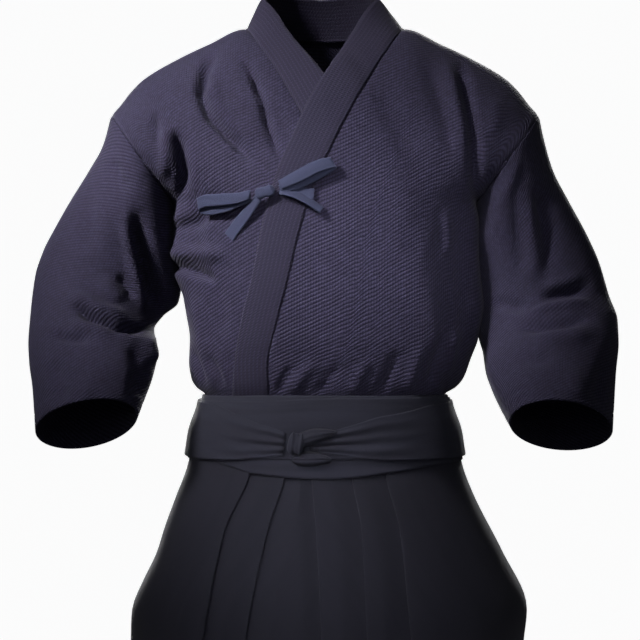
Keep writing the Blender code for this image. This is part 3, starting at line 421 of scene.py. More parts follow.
# %% Creases on the body
# Lines as seen from the front, half width, height, and how much steeper the side on the left of
# the line's way is, from -1 to 1
RIGHT_FRONT_CREASES = [
    (((-0.192, -0.132), (-0.184, -0.165), (-0.181, -0.192), (-0.184, -0.225)), 0.0085, -0.0110, 0.35),
    (((-0.205, -0.130), (-0.200, -0.165), (-0.204, -0.200)), 0.0100, 0.0050, 0.0),
    (((-0.134, -0.026), (-0.154, -0.060), (-0.159, -0.090),
      (-0.147, -0.121), (-0.113, -0.156), (-0.082, -0.192)), 0.0085, -0.0100, 0.2),
    (((-0.110, -0.036), (-0.094, -0.066), (-0.081, -0.100),
      (-0.074, -0.132), (-0.064, -0.160), (-0.050, -0.188)), 0.0060, -0.0088, 0.3),
    (((-0.136, -0.060), (-0.142, -0.092), (-0.124, -0.128), (-0.098, -0.156)), 0.0100, 0.0036, 0.0),
    (((-0.070, -0.105), (-0.052, -0.130), (-0.043, -0.150)), 0.0070, -0.0034, 0.0),
    (((-0.128, -0.098), (-0.104, -0.126), (-0.080, -0.160)), 0.0110, 0.0026, 0.0),
    (((-0.216, -0.110), (-0.212, -0.140), (-0.206, -0.162)), 0.0090, -0.0034, 0.0),
    (((-0.196, -0.304), (-0.170, -0.316), (-0.134, -0.330)), 0.0080, -0.0076, 0.3),
    (((-0.192, -0.262), (-0.164, -0.254), (-0.136, -0.236)), 0.0110, -0.0056, 0.0),
    (((-0.196, -0.288), (-0.160, -0.292), (-0.116, -0.296)), 0.0110, 0.0056, 0.0),
    (((-0.140, -0.320), (-0.132, -0.360), (-0.128, -0.400)), 0.0130, -0.0030, 0.0),
    (((-0.164, -0.345), (-0.158, -0.390), (-0.150, -0.430)), 0.0110, 0.0032, 0.0),
    (((-0.150, -0.420), (-0.136, -0.446), (-0.130, -0.470)), 0.0070, -0.0040, 0.0),
    (((-0.172, -0.410), (-0.160, -0.440), (-0.152, -0.468)), 0.0060, -0.0038, 0.0),
    (((-0.122, -0.415), (-0.118, -0.442), (-0.116, -0.468)), 0.0060, -0.0026, 0.0),
    (((-0.150, -0.215), (-0.130, -0.240), (-0.118, -0.275)), 0.0130, -0.0026, 0.0),
    (((-0.178, -0.212), (-0.183, -0.270), (-0.184, -0.300), (-0.182, -0.350)), 0.0150, 0.0086, 0.0),
]
LEFT_FRONT_CREASES = [
    (((0.150, -0.232), (0.155, -0.262), (0.154, -0.300)), 0.0070, 0.0018, 0.0),
    (((0.142, -0.228), (0.146, -0.262), (0.143, -0.296)), 0.0075, -0.0016, 0.0),
    (((0.112, -0.235), (0.110, -0.270), (0.100, -0.310)), 0.0120, -0.0012, 0.0),
    (((0.168, -0.026), (0.176, -0.060), (0.183, -0.100),
      (0.190, -0.148), (0.192, -0.200), (0.190, -0.250)), 0.0100, -0.0078, -0.25),
    (((0.150, -0.040), (0.162, -0.082), (0.171, -0.130), (0.174, -0.180)), 0.0110, 0.0036, 0.0),
    (((0.124, -0.040), (0.142, -0.092), (0.156, -0.140), (0.162, -0.185)), 0.0120, -0.0036, 0.0),
    (((0.214, -0.090), (0.216, -0.120), (0.210, -0.150)), 0.0120, 0.0024, 0.0),
    (((-0.062, -0.470), (-0.050, -0.448), (-0.038, -0.430)), 0.0060, -0.0034, 0.0),
    (((-0.044, -0.470), (-0.030, -0.446), (-0.012, -0.424)), 0.0070, 0.0030, 0.0),
    (((-0.012, -0.472), (0.002, -0.450), (0.022, -0.428)), 0.0080, -0.0034, 0.0),
    (((0.030, -0.472), (0.040, -0.448), (0.056, -0.420)), 0.0080, 0.0028, 0.0),
    (((0.064, -0.472), (0.076, -0.446), (0.092, -0.410)), 0.0080, -0.0034, 0.0),
    (((0.098, -0.470), (0.108, -0.440), (0.120, -0.400)), 0.0090, 0.0030, 0.0),
    (((0.126, -0.466), (0.134, -0.436), (0.146, -0.392)), 0.0080, -0.0040, 0.0),
    (((0.150, -0.454), (0.158, -0.424), (0.166, -0.380)), 0.0080, 0.0032, 0.0),
    (((0.060, -0.090), (0.090, -0.130), (0.124, -0.165)), 0.0160, -0.0018, 0.0),
    (((0.020, -0.260), (0.060, -0.300), (0.100, -0.350)), 0.0220, -0.0016, 0.0),
    (((0.184, -0.190), (0.184, -0.300), (0.190, -0.350), (0.192, -0.420)), 0.0140, 0.0083, 0.0),
]
BACK_CREASES = [
    (((-0.190, -0.140), (-0.168, -0.190), (-0.150, -0.260)), 0.0120, -0.0064, 0.0),
    (((0.192, -0.136), (0.166, -0.196), (0.156, -0.270)), 0.0120, -0.0060, 0.0),
    (((-0.160, -0.130), (-0.135, -0.190), (-0.118, -0.270)), 0.0150, 0.0044, 0.0),
    (((0.158, -0.130), (0.140, -0.195), (0.126, -0.250)), 0.0150, 0.0040, 0.0),
    (((-0.120, -0.330), (-0.100, -0.390), (-0.092, -0.460)), 0.0100, -0.0046, 0.0),
    (((-0.070, -0.350), (-0.062, -0.400), (-0.060, -0.462)), 0.0110, 0.0036, 0.0),
    (((-0.034, -0.380), (-0.030, -0.420), (-0.032, -0.464)), 0.0080, -0.0034, 0.0),
    (((0.040, -0.360), (0.036, -0.410), (0.040, -0.464)), 0.0090, -0.0038, 0.0),
    (((0.080, -0.345), (0.070, -0.400), (0.072, -0.460)), 0.0110, 0.0036, 0.0),
    (((0.130, -0.320), (0.112, -0.385), (0.104, -0.458)), 0.0100, -0.0048, 0.0),
    (((-0.150, -0.380), (-0.140, -0.420), (-0.134, -0.462)), 0.0080, -0.0040, 0.0),
    (((0.158, -0.390), (0.146, -0.425), (0.138, -0.460)), 0.0080, -0.0036, 0.0),
    (((-0.060, -0.060), (-0.100, -0.085), (-0.150, -0.095)), 0.0150, -0.0024, 0.0),
    (((0.060, -0.062), (0.104, -0.084), (0.150, -0.100)), 0.0150, -0.0022, 0.0),
]
print("creases on the jacket's body:", len(RIGHT_FRONT_CREASES) + len(LEFT_FRONT_CREASES) + len(BACK_CREASES))

# %% [markdown]
# The left front lies over the right one and over its collar band, so it stands a little off
# the body there. Towards its own right, where only one layer lies beneath, it settles.

# %% The jacket's surface
OVERLAP_LIFT = 0.0056
LIFT_MARGIN = 0.026
LIFT_FADE = 0.060
LIFT_OUTER_X = 0.152
SETTLED_SHARE = 0.5
UNDERARM_REACH = 0.040
SOFTENING_PASSES = 60
SEAM_SEARCH = 0.15


def armhole(down, face):
    """x, depth and z of the armhole's edge: half an oval from the shoulder tip to the underarm."""
    x = SHOULDER_TIP_X + (UNDERARM_X - SHOULDER_TIP_X) * down
    z = SHOULDER_TIP_Z + (UNDERARM_Z - SHOULDER_TIP_Z) * down
    return x, ARMHOLE_DEPTH[face] * 2 * np.sqrt(np.clip(down * (1 - down), 0, None)), z


def chest_point(x, turn, face):
    """Depth and z at x on a row above the underarm: part of an oval, just wide enough to pass
    through the armhole's edge, whose height falls outwards as the shoulder line does."""
    turn = np.maximum(turn, SMALLEST_TURN)
    down = (1 - np.cos(np.radians(turn))) / 2
    edge_x, edge_depth, edge_z = armhole(down, face)
    out = np.clip(np.abs(x) / edge_x, 0, 1)
    centre_depth = read(CHEST, "turn", face, turn)
    edge_share = (1 - (edge_depth / centre_depth) ** OVAL_POWER) ** (1 / OVAL_POWER)
    depth = centre_depth * (1 - (out * edge_share) ** OVAL_POWER) ** (1 / OVAL_POWER)
    middle_z = read(CHEST, "turn", face + "_z", turn)
    drop = read(SHOULDER_LINE, "out", "drop", out) * (1 - down) + out * down
    return depth, middle_z + (edge_z - middle_z) * drop


def oval_depth(x, half, depth):
    """Depth of an oval at x: the half width and the depth are its two axes."""
    share = np.clip(np.abs(x) / half, 0, 1)
    return depth * (1 - share**OVAL_POWER) ** (1 / OVAL_POWER)


def front_depth(x, z):
    """Depth of the plain jacket front at a point seen from the front."""
    turn = solve_rising(lambda t: z - chest_point(x, t, "front")[1], 0 * x * z, 180 + 0 * x * z)
    upper = chest_point(x, turn, "front")[0]
    half = np.where(x > 0, read(BODY, "z", "left", z), read(BODY, "z", "right", z))
    lower = oval_depth(x, half, read(BODY, "z", "front", z))
    return np.where(z > UNDERARM_Z, upper, lower)


def overlap_lift(x, z):
    """How far the left front stands off the body: full over the right collar band, half where it
    lies on the plain right front, nothing beyond."""
    under_edge = -read(COLLAR_FRONT, "edge_z", "edge_x", z)
    outer = np.minimum(under_edge + LIFT_FADE, LIFT_OUTER_X)
    lift = OVERLAP_LIFT * ease(-0.030, -0.060, z) * ease(outer, under_edge + LIFT_MARGIN, x)
    settled = ease(0.030, -0.040, x) * ease(-0.150, -0.210, z)
    return lift * (1 - SETTLED_SHARE * settled)


def seam_x(z):
    """Inner edge of each front, where the collar band is sewn on."""
    return read(COLLAR_FRONT, "seam_z", "seam_x", z)


print("chest depth on the centre line:", round(float(front_depth(np.array([0.0]), np.array([-0.2]))[0]), 4))

# %% [markdown]
# A face of a body half is a grid from the collar's seam or the centre back out to the side.
# Its columns are spaced by the oval's own angle, so that they stay even where it turns.

# %% Faces of a body half
def upper_inner_x(turns, face):
    """Inner edge of a body half above the underarm: the collar seam, the neck or the centre back."""
    if face == "front":
        far = SEAM_SEARCH + 0 * turns
        return solve_rising(lambda x: x - seam_x(chest_point(x, turns, face)[1]), -far, far)
    round_neck = np.minimum(turns / NECK_BACK_TURN, 1.0) * math.pi / 2
    return np.maximum(NECK_HALF_WIDTH * np.cos(round_neck), 0.0)


def spread_across(inner_x, outer_x, shares):
    """x of each column: equal steps of the oval's own angle, from the inner edge to the side."""
    start = np.arcsin(np.clip(signed_power(inner_x / outer_x, OVAL_POWER / 2), -1, 1))
    return outer_x * signed_power(np.sin(start + (math.pi / 2 - start) * shares), 2 / OVAL_POWER)


def body_face(side, face, z_rows, turns, shares):
    """One face of a body half, laid out on the left: rows from the hem to the shoulder line."""
    half = read(BODY, "z", side, z_rows)[:, None]
    inner = seam_x(z_rows)[:, None] + SEAM_HALF if face == "front" else 0 * half
    low_x = spread_across(inner, half, shares[None, :])
    low_depth = oval_depth(low_x, half, read(BODY, "z", face, z_rows)[:, None])
    low = np.stack([low_x, low_depth, z_rows[:, None] + 0 * low_x], axis=2)
    edge_x = armhole((1 - np.cos(np.radians(turns))) / 2, face)[0][:, None]
    gap = SEAM_HALF if face == "front" else 0.0
    high_x = spread_across(upper_inner_x(turns, face)[:, None] + gap, edge_x, shares[None, :])
    high_depth, high_z = chest_point(high_x, turns[:, None], face)
    return np.concatenate([low, np.stack([high_x, high_depth, high_z], axis=2)])


def soften_underarm(points, shares):
    """Averages each row with its neighbours, again and again, near the underarm's height alone."""
    near = np.exp(-(((points[..., 2] - UNDERARM_Z) / UNDERARM_REACH) ** 2)) * (1 - shares[None, :] ** 6)
    weight = (near / 2)[1:-1, :, None]
    for _ in range(SOFTENING_PASSES):
        middle = (points[:-2] + points[2:]) / 2
        points[1:-1] += weight * (middle - points[1:-1])
    return points


def outward_normals(points):
    """Grid normals turned to point away from the upright middle line of the body."""
    normals = grid_normals(points)
    return normals * np.sign(np.sum(normals * points * [1, 1, 0], axis=2, keepdims=True))


sample = body_face("left", "front", np.array([-0.4, -0.3]), np.array([90.0]), np.linspace(0, 1, 5))
print("grid of a coarse face:", sample.shape)

# %% [markdown]
# A body half runs from the front hem up over the shoulder and down the back, as the real panel
# does. Its rows are close where creases show and wide where the belt hides them. Next to each
# seam the cloth dips a little, because the thread pulls it in.

# %% Body halves
HEM_Z = -0.740
BELT_Z = -0.560
FRONT_STEP = 0.0030
BACK_STEP = 0.0045
UPPER_FRONT_ROWS = 88
UPPER_BACK_ROWS = 60
BODY_COLUMNS = 84
SEAM_ROLL = 0.0030
SEAM_DIP = 0.0012
COVERED_EDGE = 0.002
BARE_EDGE = -0.012
BELT_TOP = (-0.474, -0.462)
ROLL_FROM = (-0.470, -0.460)
SIDE_FADE = 0.93


def seam_roll(distance):
    """Depth of the soft roll beside a sewn edge: an exponential of the distance from it."""
    return -SEAM_DIP * np.exp(-((distance / SEAM_ROLL) ** 2))


def body_half_points(side):
    """A body half from the front hem over the shoulder to the back hem, with its creases."""
    shares = np.concatenate([[0.0, 0.004, 0.009, 0.015], np.linspace(0.024, 1.0, BODY_COLUMNS)])
    hidden = np.arange(HEM_Z, BELT_Z, 0.010)
    front_z = np.concatenate([hidden, np.arange(BELT_Z, UNDERARM_Z, FRONT_STEP)])
    back_z = np.concatenate([hidden, np.arange(BELT_Z, UNDERARM_Z, BACK_STEP)])
    front_turns = np.linspace(180.0, 0.0, UPPER_FRONT_ROWS)[:-1]
    back_turns = np.linspace(180.0, 0.0, UPPER_BACK_ROWS)
    front = body_face(side, "front", front_z, front_turns, shares) * [1, -1, 1]
    back = body_face(side, "back", back_z, back_turns, shares)[::-1]
    front = soften_underarm(front, shares)
    back = soften_underarm(back, shares)
    points = np.concatenate([front, back])
    sign = 1 if side == "left" else -1
    x, z = sign * points[..., 0], points[..., 2]
    in_front = (np.arange(len(points)) < len(front))[:, None]
    front_creases = crease_height(x, z, LEFT_FRONT_CREASES if side == "left" else RIGHT_FRONT_CREASES)
    if side == "right":
        edge = read(COLLAR_FRONT, "edge_z", "edge_x", z)
        uncovered = ease(edge + COVERED_EDGE, edge + BARE_EDGE, x)
        front_creases = np.where(front_creases > 0, front_creases * uncovered, front_creases)
    height = np.where(in_front, front_creases, crease_height(x, z, BACK_CREASES))
    height *= ease(1.0, SIDE_FADE, shares)[None, :]
    height *= ease(*BELT_TOP, z)
    along = running_length(points, 1)
    height += seam_roll(along) * ease(*ROLL_FROM, z)
    from_armhole = along[:, -1:] - along
    height += seam_roll(from_armhole) * (z > UNDERARM_Z)
    lift = overlap_lift(points[..., 0], z) * in_front if side == "left" else 0 * z
    points = points + outward_normals(points) * (height + lift)[..., None]
    uv = np.stack([points[:, :1, 0] + along, running_length(points, 0)], axis=2)
    return points * [sign, 1, 1], uv * [sign, 1]


for side in ("left", "right"):
    points, uv = body_half_points(side)
    cloth_piece("jacket_body_" + side, points, uv, JACKET_CLOTH, "jacket_cloth")

# %% [markdown]
# Each sleeve is a tube from the armhole to a wide cuff. It bends half way down and its lower
# half comes forward, so the cloth bunches inside the bend and drags from it towards the cuff.
# Rings are ovals through an outer and an inner edge, which the tables give as seen from the
# front.

# %% Sizes of the sleeves
SLEEVE_COLUMNS = "outer_x outer_z inner_x inner_z middle front back rise drop lean"
SLEEVES = {
    "left": table(
        SLEEVE_COLUMNS,
        (0.2760, -0.112, 0.1950, -0.2250, 0.000, 0.085, 0.080, 0.000, 0.000, 0.000),
        (0.2840, -0.146, 0.1935, -0.2550, 0.002, 0.084, 0.079, 0.000, 0.000, 0.000),
        (0.2950, -0.182, 0.1920, -0.2830, 0.005, 0.083, 0.078, 0.000, 0.000, 0.000),
        (0.3160, -0.222, 0.1925, -0.3090, 0.010, 0.080, 0.077, 0.002, 0.002, 0.000),
        (0.3400, -0.266, 0.1952, -0.3380, 0.012, 0.078, 0.076, 0.004, 0.004, 0.000),
        (0.3570, -0.305, 0.1985, -0.3665, 0.010, 0.077, 0.075, 0.008, 0.008, 0.002),
        (0.3680, -0.346, 0.2000, -0.3960, 0.000, 0.076, 0.074, 0.014, 0.012, 0.004),
        (0.3770, -0.378, 0.2050, -0.4200, -0.020, 0.075, 0.073, 0.019, 0.016, 0.007),
        (0.3760, -0.405, 0.2070, -0.4430, -0.040, 0.073, 0.071, 0.024, 0.021, 0.010),
        (0.3700, -0.442, 0.2138, -0.4666, -0.060, 0.071, 0.069, 0.029, 0.026, 0.013),
        (0.3650, -0.481, 0.2235, -0.4900, -0.080, 0.070, 0.067, 0.033, 0.030, 0.016),
        (0.3610, -0.510, 0.2350, -0.5130, -0.095, 0.069, 0.066, 0.036, 0.033, 0.019),
    ),
    "right": table(
        SLEEVE_COLUMNS,
        (0.2760, -0.112, 0.1950, -0.2250, 0.000, 0.085, 0.080, 0.000, 0.000, 0.000),
        (0.2880, -0.152, 0.1925, -0.2530, 0.002, 0.084, 0.079, 0.000, 0.000, 0.000),
        (0.3060, -0.184, 0.1905, -0.2780, 0.004, 0.083, 0.078, 0.000, 0.000, 0.000),
        (0.3300, -0.222, 0.1890, -0.3040, 0.008, 0.081, 0.077, 0.002, 0.002, 0.000),
        (0.3520, -0.260, 0.1885, -0.3300, 0.012, 0.079, 0.076, 0.005, 0.004, 0.000),
        (0.3680, -0.292, 0.1920, -0.3530, 0.012, 0.077, 0.075, 0.009, 0.008, 0.002),
        (0.3760, -0.320, 0.2110, -0.3700, 0.004, 0.074, 0.074, 0.012, 0.012, 0.004),
        (0.3800, -0.364, 0.2220, -0.3880, -0.012, 0.072, 0.072, 0.016, 0.016, 0.006),
        (0.3810, -0.399, 0.2190, -0.4060, -0.030, 0.071, 0.071, 0.020, 0.020, 0.008),
        (0.3780, -0.430, 0.2160, -0.4240, -0.048, 0.070, 0.070, 0.024, 0.024, 0.009),
        (0.3720, -0.460, 0.2200, -0.4480, -0.065, 0.070, 0.068, 0.027, 0.028, 0.010),
        (0.3680, -0.490, 0.2290, -0.4750, -0.080, 0.069, 0.067, 0.030, 0.032, 0.011),
        (0.3650, -0.514, 0.2378, -0.5000, -0.092, 0.068, 0.066, 0.032, 0.035, 0.012),
    ),
}
for columns in SLEEVES.values():
    columns["along"] = np.linspace(0.0, 1.0, len(columns["outer_x"]))

# Creases of each sleeve's front and back, with x counted outwards from the middle of the body
SLEEVE_FRONT_CREASES = {
    "right": [
        (((0.258, -0.232), (0.247, -0.294), (0.236, -0.346), (0.226, -0.374)), 0.0080, 0.0054, 0.0),
        (((0.243, -0.228), (0.228, -0.296), (0.217, -0.346), (0.208, -0.372)), 0.0120, -0.0110, 0.0),
        (((0.332, -0.342), (0.306, -0.352), (0.282, -0.364), (0.244, -0.376)), 0.0090, 0.0056, 0.0),
        (((0.326, -0.354), (0.299, -0.369), (0.262, -0.382),
          (0.236, -0.386), (0.214, -0.378)), 0.0064, -0.0125, 0.35),
        (((0.266, -0.318), (0.254, -0.334), (0.242, -0.352)), 0.0070, -0.0046, 0.0),
        (((0.286, -0.322), (0.270, -0.342), (0.256, -0.356)), 0.0100, 0.0032, 0.0),
        (((0.350, -0.394), (0.322, -0.400), (0.290, -0.401)), 0.0080, -0.0056, 0.0),
        (((0.326, -0.378), (0.296, -0.389), (0.262, -0.397)), 0.0090, 0.0040, 0.0),
        (((0.224, -0.392), (0.214, -0.412), (0.218, -0.436)), 0.0110, 0.0050, 0.0),
        (((0.246, -0.402), (0.232, -0.436), (0.238, -0.476)), 0.0110, -0.0050, 0.0),
        (((0.344, -0.424), (0.330, -0.452), (0.322, -0.486)), 0.0120, -0.0024, 0.0),
        (((0.296, -0.440), (0.290, -0.466), (0.290, -0.496)), 0.0140, 0.0024, 0.0),
        (((0.272, -0.170), (0.262, -0.196), (0.246, -0.216)), 0.0100, -0.0038, 0.0),
        (((0.304, -0.200), (0.300, -0.250), (0.306, -0.300)), 0.0160, -0.0030, 0.0),
    ],
    "left": [
        (((0.243, -0.158), (0.234, -0.196), (0.226, -0.240)), 0.0090, 0.0040, 0.0),
        (((0.252, -0.205), (0.260, -0.256), (0.268, -0.303), (0.262, -0.342)), 0.0110, 0.0050, 0.0),
        (((0.240, -0.220), (0.246, -0.268), (0.250, -0.318)), 0.0100, -0.0034, 0.0),
        (((0.270, -0.200), (0.282, -0.262), (0.287, -0.322)), 0.0140, -0.0040, 0.0),
        (((0.250, -0.374), (0.279, -0.363), (0.313, -0.357), (0.346, -0.354)), 0.0062, 0.0050, 0.0),
        (((0.268, -0.350), (0.300, -0.344), (0.340, -0.339)), 0.0075, -0.0070, 0.0),
        (((0.236, -0.390), (0.284, -0.383), (0.342, -0.374)), 0.0085, -0.0082, 0.0),
        (((0.258, -0.404), (0.298, -0.398), (0.340, -0.394)), 0.0110, 0.0044, 0.0),
        (((0.272, -0.338), (0.302, -0.328), (0.332, -0.318)), 0.0080, 0.0030, 0.0),
        (((0.214, -0.352), (0.236, -0.360), (0.258, -0.362)), 0.0090, -0.0044, 0.0),
        (((0.240, -0.420), (0.262, -0.428), (0.290, -0.424)), 0.0120, -0.0034, 0.0),
        (((0.356, -0.420), (0.344, -0.452), (0.338, -0.490)), 0.0120, -0.0030, 0.0),
        (((0.306, -0.430), (0.310, -0.460), (0.306, -0.494)), 0.0140, 0.0028, 0.0),
    ],
}
SLEEVE_BACK_CREASES = [
    (((0.216, -0.260), (0.232, -0.300), (0.240, -0.346)), 0.0100, -0.0060, 0.0),
    (((0.250, -0.230), (0.266, -0.280), (0.282, -0.330)), 0.0140, 0.0040, 0.0),
    (((0.230, -0.380), (0.270, -0.372), (0.318, -0.352)), 0.0110, -0.0072, 0.0),
    (((0.236, -0.410), (0.280, -0.400), (0.330, -0.382)), 0.0120, 0.0044, 0.0),
    (((0.250, -0.446), (0.290, -0.436), (0.336, -0.420)), 0.0110, -0.0044, 0.0),
    (((0.296, -0.170), (0.300, -0.220), (0.312, -0.262)), 0.0140, -0.0036, 0.0),
]
print("creases on the sleeves:", sum(map(len, SLEEVE_FRONT_CREASES.values())) + 2 * len(SLEEVE_BACK_CREASES))

# %% [markdown]
# A sleeve's grid closes on itself, so its rings are full turns. Its creases face the front or
# the back only, and they die away at the armhole and at the stitched hem of the cuff.

# %% Sleeves
SLEEVE_RINGS = 118
SLEEVE_TURNS = 144
SLEEVE_GIRTH = 0.50
SLEEVE_SEAM_GAP = 0.0010
ARMHOLE_OUTWARD = np.array([0.813, 0.0, -0.583])
CUFF_HEM = 0.022
CUFF_STITCH_DIP = 0.0006
CUFF_STITCH_WIDTH = 0.0022
ARMHOLE_FADE = 0.010


def sleeve_points(side):
    """A sleeve as rings from the armhole to the cuff. Each ring is an oval about the middle of its
    outer and inner edge; its front rises and its back drops by the table's amounts."""
    turns = np.linspace(0.0, 360.0, SLEEVE_TURNS, endpoint=False)
    rings = np.linspace(0.0, 1.0, SLEEVE_RINGS)
    names = SLEEVE_COLUMNS.split()
    size = {name: read(SLEEVES[side], "along", name, rings)[:, None] for name in names}
    out, forward = np.cos(np.radians(turns)), np.sin(np.radians(turns))
    x = (size["outer_x"] + size["inner_x"]) / 2 + (size["outer_x"] - size["inner_x"]) / 2 * out
    z = (size["outer_z"] + size["inner_z"]) / 2 + (size["outer_z"] - size["inner_z"]) / 2 * out
    x = x - size["lean"] * forward
    y = size["middle"] - np.where(forward > 0, size["front"], size["back"]) * forward
    z = z + np.where(forward > 0, size["rise"], size["drop"]) * forward
    points = np.stack([x, y, z], axis=2)
    normals = grid_normals(points, closed=True)
    centre = points.mean(axis=1, keepdims=True)
    normals *= np.sign(np.sum(normals * (points - centre), axis=2, keepdims=True))
    facing_front = ease(0.10, -0.35, normals[..., 1])
    facing_back = ease(-0.10, 0.35, normals[..., 1])
    height = crease_height(x, z, SLEEVE_FRONT_CREASES[side]) * facing_front
    height += crease_height(x, z, SLEEVE_BACK_CREASES) * facing_back
    height *= (ease(0.0, 0.10, rings) * ease(1.0, 0.95, rings))[:, None]
    along = running_length(points, 0)
    height += seam_roll(along)
    from_cuff = along[-1:] - along
    height -= CUFF_STITCH_DIP * np.exp(-(((from_cuff - CUFF_HEM) / CUFF_STITCH_WIDTH) ** 2))
    points = points + normals * height[..., None]
    points += ARMHOLE_OUTWARD * SLEEVE_SEAM_GAP * np.exp(-along / ARMHOLE_FADE)[..., None]
    round_it = np.append(turns, 360.0) * SLEEVE_GIRTH / 360
    uv = np.stack(np.broadcast_arrays(round_it[None, :], along[:, :1]), axis=2)
    sign = 1 if side == "left" else -1
    return points * [sign, 1, 1], uv * [sign, 1]


for side in ("left", "right"):
    points, uv = sleeve_points(side)
    cloth_piece("sleeve_" + side, points, uv, JACKET_CLOTH, "jacket_cloth", closed=True)

# %% [markdown]
# The collar is one long folded band, sewn to both fronts and round the back of the neck. It is
# thicker than the panels and quilted with close rows of stitches along its length. On the
# fronts it lies in the jacket's own surface, and round the neck it stands up from its seam.

# %% Collar
COLLAR_LIFT = 0.0010
NECK_SEAM_SHARE = -0.030
COLLAR_STEP = 0.0035
COLLAR_COLUMNS = 22
NECK_STEPS = 40
COLLAR_EDGE_ROLL = 0.0016
COLLAR_FRONT_TURNS = 70
COLLAR_EASING_PASSES = 30
COLLAR_BEND_Z = -0.020
COLLAR_BEND_REACH = 0.040
COLLAR_WAVE = 0.0006
COLLAR_WAVE_LENGTH = 0.034


def collar_half(sign, across):
    """The band on one side, from the hem to the shoulder and on to the middle of the back neck:
    straight lines from the seam to the free edge, laid on the jacket or standing round the neck."""
    turns = np.linspace(180.0, NECK_BACK_TURN, COLLAR_FRONT_TURNS)[:-1]
    upper_x = upper_inner_x(turns, "front")
    upper_z = chest_point(upper_x, turns, "front")[1]
    lower_z = np.arange(HEM_Z, upper_z[0] - COLLAR_STEP / 2, COLLAR_STEP)
    seam_z = np.concatenate([lower_z, upper_z])
    edge_x = read(COLLAR_FRONT, "seam_z", "edge_x", seam_z)
    edge_z = read(COLLAR_FRONT, "seam_z", "edge_z", seam_z)
    shares = across[None, :]
    lying_x = (seam_x(seam_z) - SEAM_HALF)[:, None] * (1 - shares) + edge_x[:, None] * shares
    lying_z = seam_z[:, None] * (1 - shares) + edge_z[:, None] * shares
    lying = np.stack([sign * lying_x, -front_depth(sign * lying_x, lying_z), lying_z], axis=2)
    parts = [lying]
    start = (NECK_SEAM_SHARE + (1 - NECK_SEAM_SHARE) * across)[None, :, None]
    for face, edges in (("front", NECK_EDGE_FRONT), ("back", NECK_EDGE_BACK)):
        near = np.linspace(0.0, NECK_BACK_TURN, NECK_STEPS)
        near = near[::-1] if face == "front" else near[1:]
        x = upper_inner_x(near, face)
        y, z = chest_point(x, near, face)
        seam = np.stack([x, -y if face == "front" else y, z], axis=1)[:, None, :]
        edge = np.stack([read(edges, "turn", name, near) for name in "xyz"], axis=1)[:, None, :]
        parts.append((seam * (1 - start) + edge * start) * [sign, 1, 1])
    return np.concatenate(parts)


def collar_points():
    """The whole band from the left hem round the neck to the right hem, eased where its two ways
    of lying meet, and lifted as the front beneath it is."""
    across = np.linspace(0.0, 1.0, COLLAR_COLUMNS)
    left, right = (collar_half(sign, across) for sign in (1, -1))
    points = np.concatenate([left, right[-2::-1]])
    for _ in range(COLLAR_EASING_PASSES):
        turning = np.exp(-((points[1:-1, :, 2] - COLLAR_BEND_Z) / COLLAR_BEND_REACH) ** 2)[..., None] / 2
        points[1:-1] += turning * ((points[:-2] + points[2:]) / 2 - points[1:-1])
    normals = grid_normals(points)
    normals *= -np.sign(normals[0, 0, 1])
    on_left = (np.arange(len(points)) < len(left))[:, None]
    lift = COLLAR_LIFT + overlap_lift(points[..., 0], points[..., 2]) * on_left * (points[..., 1] < 0)
    edge_roll = -COLLAR_EDGE_ROLL * (across[None, :] ** 12 + (1 - across[None, :]) ** 14)
    waves = COLLAR_WAVE * np.sin(running_length(points, 0) / COLLAR_WAVE_LENGTH)
    waves = waves * ease(0.1, 0.9, across)[None, :]
    points = points + normals * (lift + edge_roll + waves)[..., None]
    points[..., 0] += NECK_SHIFT * ease(-0.068, 0.0, points[..., 2]) * across[None, :]
    uv = np.stack([running_length(points, 1), running_length(points, 0)], axis=2)
    return points, uv


points, uv = collar_points()
cloth_piece("collar", points, uv, COLLAR_CLOTH, "collar_cloth")

# %% [markdown]
# Two pairs of narrow tapes close the jacket. The pair that shows is tied in a bow beside the
# collar. Each strand is a flat strip carried along its own line, above the jacket's surface,
# and its edges curl down a little. Laid strips are chosen over a simulated ribbon because the
# bow keeps two loops and two tails at measured places.

